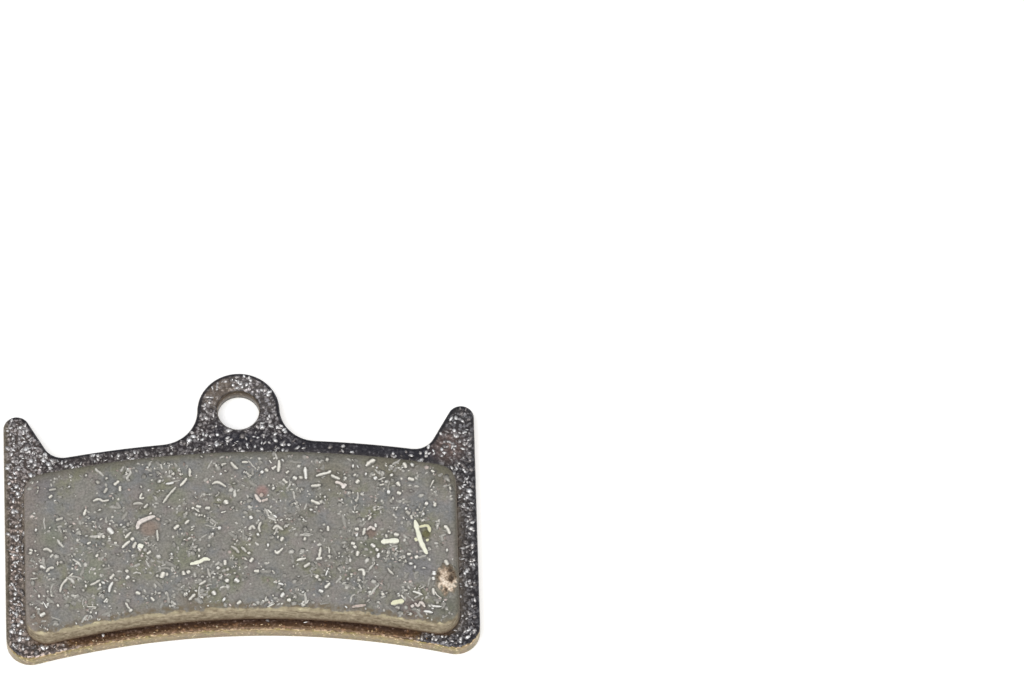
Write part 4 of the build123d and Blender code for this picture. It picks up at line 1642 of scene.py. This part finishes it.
# The palest tints of the glitter and the gilt are painted glints.
GLITTER_ROW = colour_row((112, 106, 105), (172, 166, 164), (244, 241, 239), (255, 255, 255))
GILT_ROW = colour_row((104, 78, 56), (150, 118, 86), (206, 174, 132), (248, 232, 204))
COMPOUND_EDGE = colour(142, 139, 131)
CRUST_EDGE = colour(100, 96, 96)
GILT_EDGE = colour(128, 102, 78)
COPPER_EDGE = colour(124, 116, 101)
GROUND_LEVEL = 3.0
WEAR_SIZE = 0.3 * MM
CLEANEST = 1.08


def fleck_material(name, row, edge, metallic, roughness, fade=0.5, wear=0.3, ground=False):
    """Finish whose colour changes from fleck to fleck along a row, and fades at their edges."""
    material, tree, shader = new_material(name)
    tint = mark(tree, "tint")
    shade = row[0]
    steps = len(row) - 1
    for step, following in enumerate(row[1:]):
        part = {0: tint, 1: step / steps, 2: (step + 1) / steps}
        share = add(tree, "ShaderNodeMapRange", part).outputs[0]
        shade = blend(tree, share, shade, following)
    shade = blend(tree, ease(tree, mark(tree, "core"), 0.0, fade), edge, shade)
    coords = add(tree, "ShaderNodeTexCoord").outputs["Object"]
    clean = patches(tree, coords, WEAR_SIZE)
    patchy = times_plus(tree, clean, wear, CLEANEST - wear)
    dulled = vector(tree, "SCALE", shade, Scale=patchy)
    tree.links.new(dulled, shader["Base Color"])
    if ground:
        surface = add(tree, "ShaderNodeNewGeometry").outputs["Normal"]
        rise = axis(tree, surface, 2)
        level = upward(tree, times(tree, calc(tree, "SIGN", rise), GROUND_LEVEL))
        levelled = vector(tree, "NORMALIZE", vector(tree, "ADD", surface, level))
        tree.links.new(levelled, shader["Normal"])
    shader["Metallic"].default_value = metallic
    shader["Roughness"].default_value = roughness
    return material


brass = fleck_material("dull_brass", BRASS_ROW, COMPOUND_EDGE, 0.0, 0.4, 0.95, 0.12, ground=True)
graphite = fleck_material("graphite", GRAPHITE_ROW, COMPOUND_EDGE, 0.0, 0.6, 0.9, ground=True)
rosy = fleck_material("rosy_chips", ROSY_ROW, COMPOUND_EDGE, 0.1, 0.5, 0.8, ground=True)
chalk = fleck_material("chalk_white", CHALK_ROW, COMPOUND_EDGE, 0.0, 0.6, 0.8, ground=True)
fresh_brass = fleck_material("fresh_brass", FRESH_BRASS_ROW, COMPOUND_EDGE, 0.1, 0.4, 0.5, 0.1, ground=True)
copper = fleck_material("dull_copper", COPPER_ROW, COMPOUND_EDGE, 0.1, 0.5, ground=True)
torn_copper = fleck_material("torn_copper", LUMP_ROW, COPPER_EDGE, 0.0, 0.5, 1.0, 0.2)
glitter = fleck_material("glitter", GLITTER_ROW, CRUST_EDGE, 0.5, 0.3)
gilt = fleck_material("gilt", GILT_ROW, GILT_EDGE, 0.4, 0.3)
finishes = [brass, graphite, rosy, chalk, fresh_brass, copper, torn_copper, glitter, gilt]
print("finishes", [finish.name for finish in finishes])

# %% [markdown]
# ## Sowing the flecks
# Nine sowings fill the two surfaces, each with its own density, sizes and seed. The numbers are flecks to
# a square millimetre and lengths in millimetres. The flecks of the ground face lie nearly flat, those of
# the coat are tilted, so that they glitter. Each sowing is run on the mesh of the piece that carries it
# and becomes a plain mesh of its own.

# %% Sow the flecks
PER_MM2 = 1 / MM**2
LIE_FLAT = 0.1


def chips(density, clumping, seed, sizes, thickness, material, tilt=LIE_FLAT, where="sown"):
    """Chip tree and its values."""
    return chip_sower, {
        "Where": where, "Density": density * PER_MM2, "Clumping": clumping, "Seed": seed,
        "Smallest": sizes[0] * MM, "Largest": sizes[1] * MM, "Thickness": thickness * MM,
        "Tilt": tilt, "Material": material,
    }


def fibres(density, clumping, seed, lengths, girth, bend, material):
    """Fibre tree and its values."""
    return fibre_sower, {
        "Where": "sown", "Density": density * PER_MM2, "Clumping": clumping, "Seed": seed,
        "Shortest": lengths[0] * MM, "Longest": lengths[1] * MM, "Girth": girth * MM,
        "Bend": bend * MM, "Material": material,
    }


BLOCK_SOWINGS = {
    "brass_fibres": fibres(0.08, 0.8, 11, (0.4, 1.2), 0.24, 0.6, brass),
    "brass_chips": chips(0.5, 0.8, 23, (0.34, 0.64), 0.07, brass),
    "brass_points": chips(0.8, 0.9, 29, (0.28, 0.46), 0.07, brass),
    "chalk_specks": chips(1.5, 0.8, 37, (0.36, 0.95), 0.06, chalk),
    "grey_fibres": fibres(0.45, 0.7, 71, (0.4, 1.3), 0.28, 0.8, chalk),
    "dark_grains": chips(0.5, 0.5, 83, (0.24, 0.5), 0.05, graphite),
    "rosy_chips": chips(0.45, 0.9, 41, (0.3, 0.7), 0.06, rosy),
}
PLATE_SOWINGS = {
    "plate_flakes": chips(4.4, 0.3, 53, (0.42, 0.9), 0.16, glitter, tilt=0.35),
    "gilt_flakes": chips(7, 0.4, 61, (0.2, 0.5), 0.08, gilt, tilt=0.4, where="gilt"),
}


def hand_over(piece):
    """Let a fleck piece ride with the pad."""
    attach(piece, "root")
    print(piece.name, len(piece.data.polygons), "faces")
    return piece


def strew(name, carrier, tree, values, slot):
    """Piece with the flecks that a tree sows on the mesh of another."""
    piece = bpy.data.objects.new(name, carrier.data)
    bpy.context.scene.collection.objects.link(piece)
    return hand_over(run_tree(piece, tree, values))


strewn = {name: strew(name, block, *sowing, "friction_compound") for name, sowing in BLOCK_SOWINGS.items()}
for name, sowing in PLATE_SOWINGS.items():
    strew(name, plate, *sowing, "coated_steel")
block_flecks = [strewn["brass_fibres"], strewn["brass_chips"]]

# %% [markdown]
# ## From drawn lines to fibres
# Now the drawn lines become metal. Each set of lines is one mesh of points and edges
# that lies a little below the face, with its width and tint as attributes, and the third geometry tree
# turns it into flat fibres. Fraying takes some of their width, so the lines are drawn a little broader.

# %% Draw the fibres
SUNK = Vector((0, 0, 0.02 * MM))
BROADER = 1.1


def draw(name, lines, material):
    """Piece with a flat fibre along each line."""
    points, edges, girths, tints = [], [], [], []
    for width, tint, pixels in lines.values():
        first = len(points)
        points.extend(on_face(pixel) - SUNK for pixel in pixels)
        edges.extend((i, i + 1) for i in range(first, len(points) - 1))
        girths.extend([BROADER * width * MM] * len(pixels))
        tints.extend([tint] * len(pixels))
    piece = new_piece(name, points, [], {"girth": girths, "tint": tints}, edges)
    run_tree(piece, fibre_drawer, {"Material": material})
    return hand_over(piece)


block_flecks.append(draw("drawn_brass", BRASS_LINES, brass))
block_flecks.append(draw("drawn_fresh_brass", FRESH_LINES, fresh_brass))
block_flecks.append(draw("drawn_copper", COPPER_LINES, copper))
print("drawn fibres in", len(block_flecks), "pieces of metal")

# %% [markdown]
# ## The torn lump
# One scrap of copper is far larger than the rest. The grinding tore it, so it is crumpled, and its tints
# paint its light: pale with painted highlights, dark with painted shade in its folds. It could be sculpted
# by hand, but a net with a ragged outline is enough.
# Each named spot, with its pixel, its reach in millimetres and its tint, pulls the points near it to that
# tint, noise crumples the rest, and the paler a point is, the higher it stands. The scrap lies at the
# edge of the face, so its points go down with the rounded rim.

# %% Torn lump
LUMP_MIDDLE = (447, 579)
LUMP_HALF_SIZE = np.array((1.25 * MM, 1.95 * MM))
LUMP_NET = 0.07 * MM
LUMP_RELIEF = 0.14 * MM
LUMP_RISE = 0.02 * MM
LUMP_RAGGED = 0.5
LUMP_TINT = 0.36
LUMP_CRUMPLE = 0.6
LUMP_SIDES = 48
LUMP_SKIRT = 0.06 * MM
FOLD_SIZES = (0.22 * MM, 0.11 * MM)
FRINGE_SIZE = 0.3 * MM
# Pale spots, the glint among them, are painted highlights; the fold spots are painted shade.
LUMP_SPOTS = {
    "upper_heart": (442, 571, 0.32, 0.74),
    "heart": (447, 572, 0.3, 0.68),
    "cream_left": (442, 579, 0.3, 0.95),
    "tan_centre": (446, 578, 0.3, 0.6),
    "glint": (447.5, 584, 0.25, 1.0),
    "left_foot": (438, 586, 0.3, 0.95),
    "low_tan": (442, 590, 0.3, 0.62),
    "arm_low": (450, 590, 0.22, 0.92),
    "arm_middle": (453, 586, 0.22, 0.95),
    "arm_top": (456, 582, 0.26, 0.95),
    "fold_left": (438, 574, 0.25, 0.0),
    "fold_left_low": (438, 580, 0.2, 0.05),
    "fold_right": (450, 571, 0.25, 0.0),
    "fold_right_low": (451, 579, 0.3, 0.05),
    "fold_low": (445.5, 590, 0.18, 0.0),
    "brown_right": (455, 574, 0.35, 0.24),
    "brown_low": (453, 593, 0.3, 0.38),
    "top": (446, 564, 0.45, 0.22),
}


def rim_drop(points):
    """How far the rounded rim of the block lies below its flat face."""
    flat_from = (face_z - front_z) * tan(BLOCK_DRAFT) + BLOCK_ROUND + RIM_CRUMBLE
    past = np.clip(flat_from - inside_block(*points.T), 0, BLOCK_ROUND)
    return BLOCK_ROUND - np.sqrt(BLOCK_ROUND**2 - past**2)


def lump_depth(points, middle, ragged):
    """How deep in the lump points lie: 1 in the middle, 0 at the ragged outline."""
    across, along = ((points - middle) / LUMP_HALF_SIZE).T
    turns = np.linspace(0, 2 * pi, len(ragged), endpoint=False)
    outer = np.interp(np.arctan2(along, across), turns, ragged, period=2 * pi)
    return 1 - np.hypot(across, along) / outer


def torn_lump():
    """Crumpled scrap of copper, coloured by the spots named above."""
    middle = np.array(on_face(LUMP_MIDDLE).xy)
    turns = np.linspace(0, 2 * pi, LUMP_SIDES, endpoint=False)
    rays = np.column_stack((np.cos(turns), np.sin(turns)))
    ragged = 1 + LUMP_RAGGED * (lumps(raised(rays, 0.0), 0.45) - 0.6)
    edge = middle + LUMP_HALF_SIZE * rays * ragged[:, None]
    inner = honeycomb(edge.min(axis=0), edge.max(axis=0), LUMP_NET)
    inner = inner[lump_depth(inner, middle, ragged) > 0.04]
    loop = [(i, (i + 1) % len(edge)) for i in range(len(edge))]
    faces = net(edge, loop, inner)
    points = np.vstack((edge, inner))
    weight = np.full(len(points), 0.03)
    tint = weight * LUMP_TINT
    for u, v, reach, shade in LUMP_SPOTS.values():
        away = np.hypot(*(points - np.array(on_face((u, v)).xy)).T)
        pull = np.exp(-((away / (reach * MM)) ** 2))
        weight += pull
        tint += pull * shade
    wide, fine = FOLD_SIZES
    crumple = lumps(raised(points, 0.0), wide) + lumps(raised(points, face_z), fine) - 1
    tint = np.clip(tint / weight + LUMP_CRUMPLE * crumple, 0, 1)
    inward = lump_depth(points, middle, ragged)
    core = 2.6 * inward + 2.2 * (lumps(raised(points, 0.0), FRINGE_SIZE) - 0.5)
    height = face_z + LUMP_RISE + LUMP_RELIEF * tint * np.clip(3 * inward, 0, 1)
    height[:len(edge)] = face_z - LUMP_SKIRT
    height -= rim_drop(points)
    piece = new_piece("torn_lump", raised(points, height), faces, {"tint": tint, "core": core})
    piece.data.materials.append(torn_copper)
    hand_over(piece)


torn_lump()

# %% [markdown]
# ## Gaps round the flecks
# Resin shrinks away from metal, so each fibre and chip of metal lies in a fine dark gap. A last geometry
# tree looks from each point of the face to the nearest fleck, sinks the face a little where one is close,
# and keeps the nearness in an attribute called gap, which darkens the compound.

# %% Gaps
GAP_REACH = 0.3 * MM
GAP_DEPTH = 0.02 * MM


def gap_tree():
    """Geometry tree that sinks a face round the flecks in it."""
    sockets = {"Flecks": "Object", "Reach": "Float", "Depth": "Float"}
    tree, given, result = new_tree("fleck_gaps", sockets)
    flecks = add(tree, "GeometryNodeObjectInfo", {"Object": given["Flecks"]}).outputs["Geometry"]
    distance = add(tree, "GeometryNodeProximity", {0: flecks}, target_element="FACES").outputs["Distance"]
    close = ease(tree, distance, given["Reach"], 0.0)
    before = field(tree, "gap")
    more = calc(tree, "MAXIMUM", calc(tree, "SUBTRACT", close, before), 0.0)
    depth = times(tree, more, times(tree, given["Depth"], -1.0))
    bare = field(tree, "bare")
    offset = upward(tree, times(tree, depth, bare))
    sunk = shift(tree, given["Geometry"], offset)
    most = calc(tree, "ADD", before, more)
    marked = store(tree, sunk, "gap", most)
    finish_tree(tree, marked, given, result)
    return tree


gap_maker = gap_tree()
gap_values = {"Reach": GAP_REACH, "Depth": GAP_DEPTH, "Material": compound}
for flecks_piece in block_flecks:
    run_tree(block, gap_maker, gap_values | {"Flecks": flecks_piece})
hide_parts("friction_block")
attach(block, "root")
print("gaps round", len(block_flecks), "kinds of fleck")
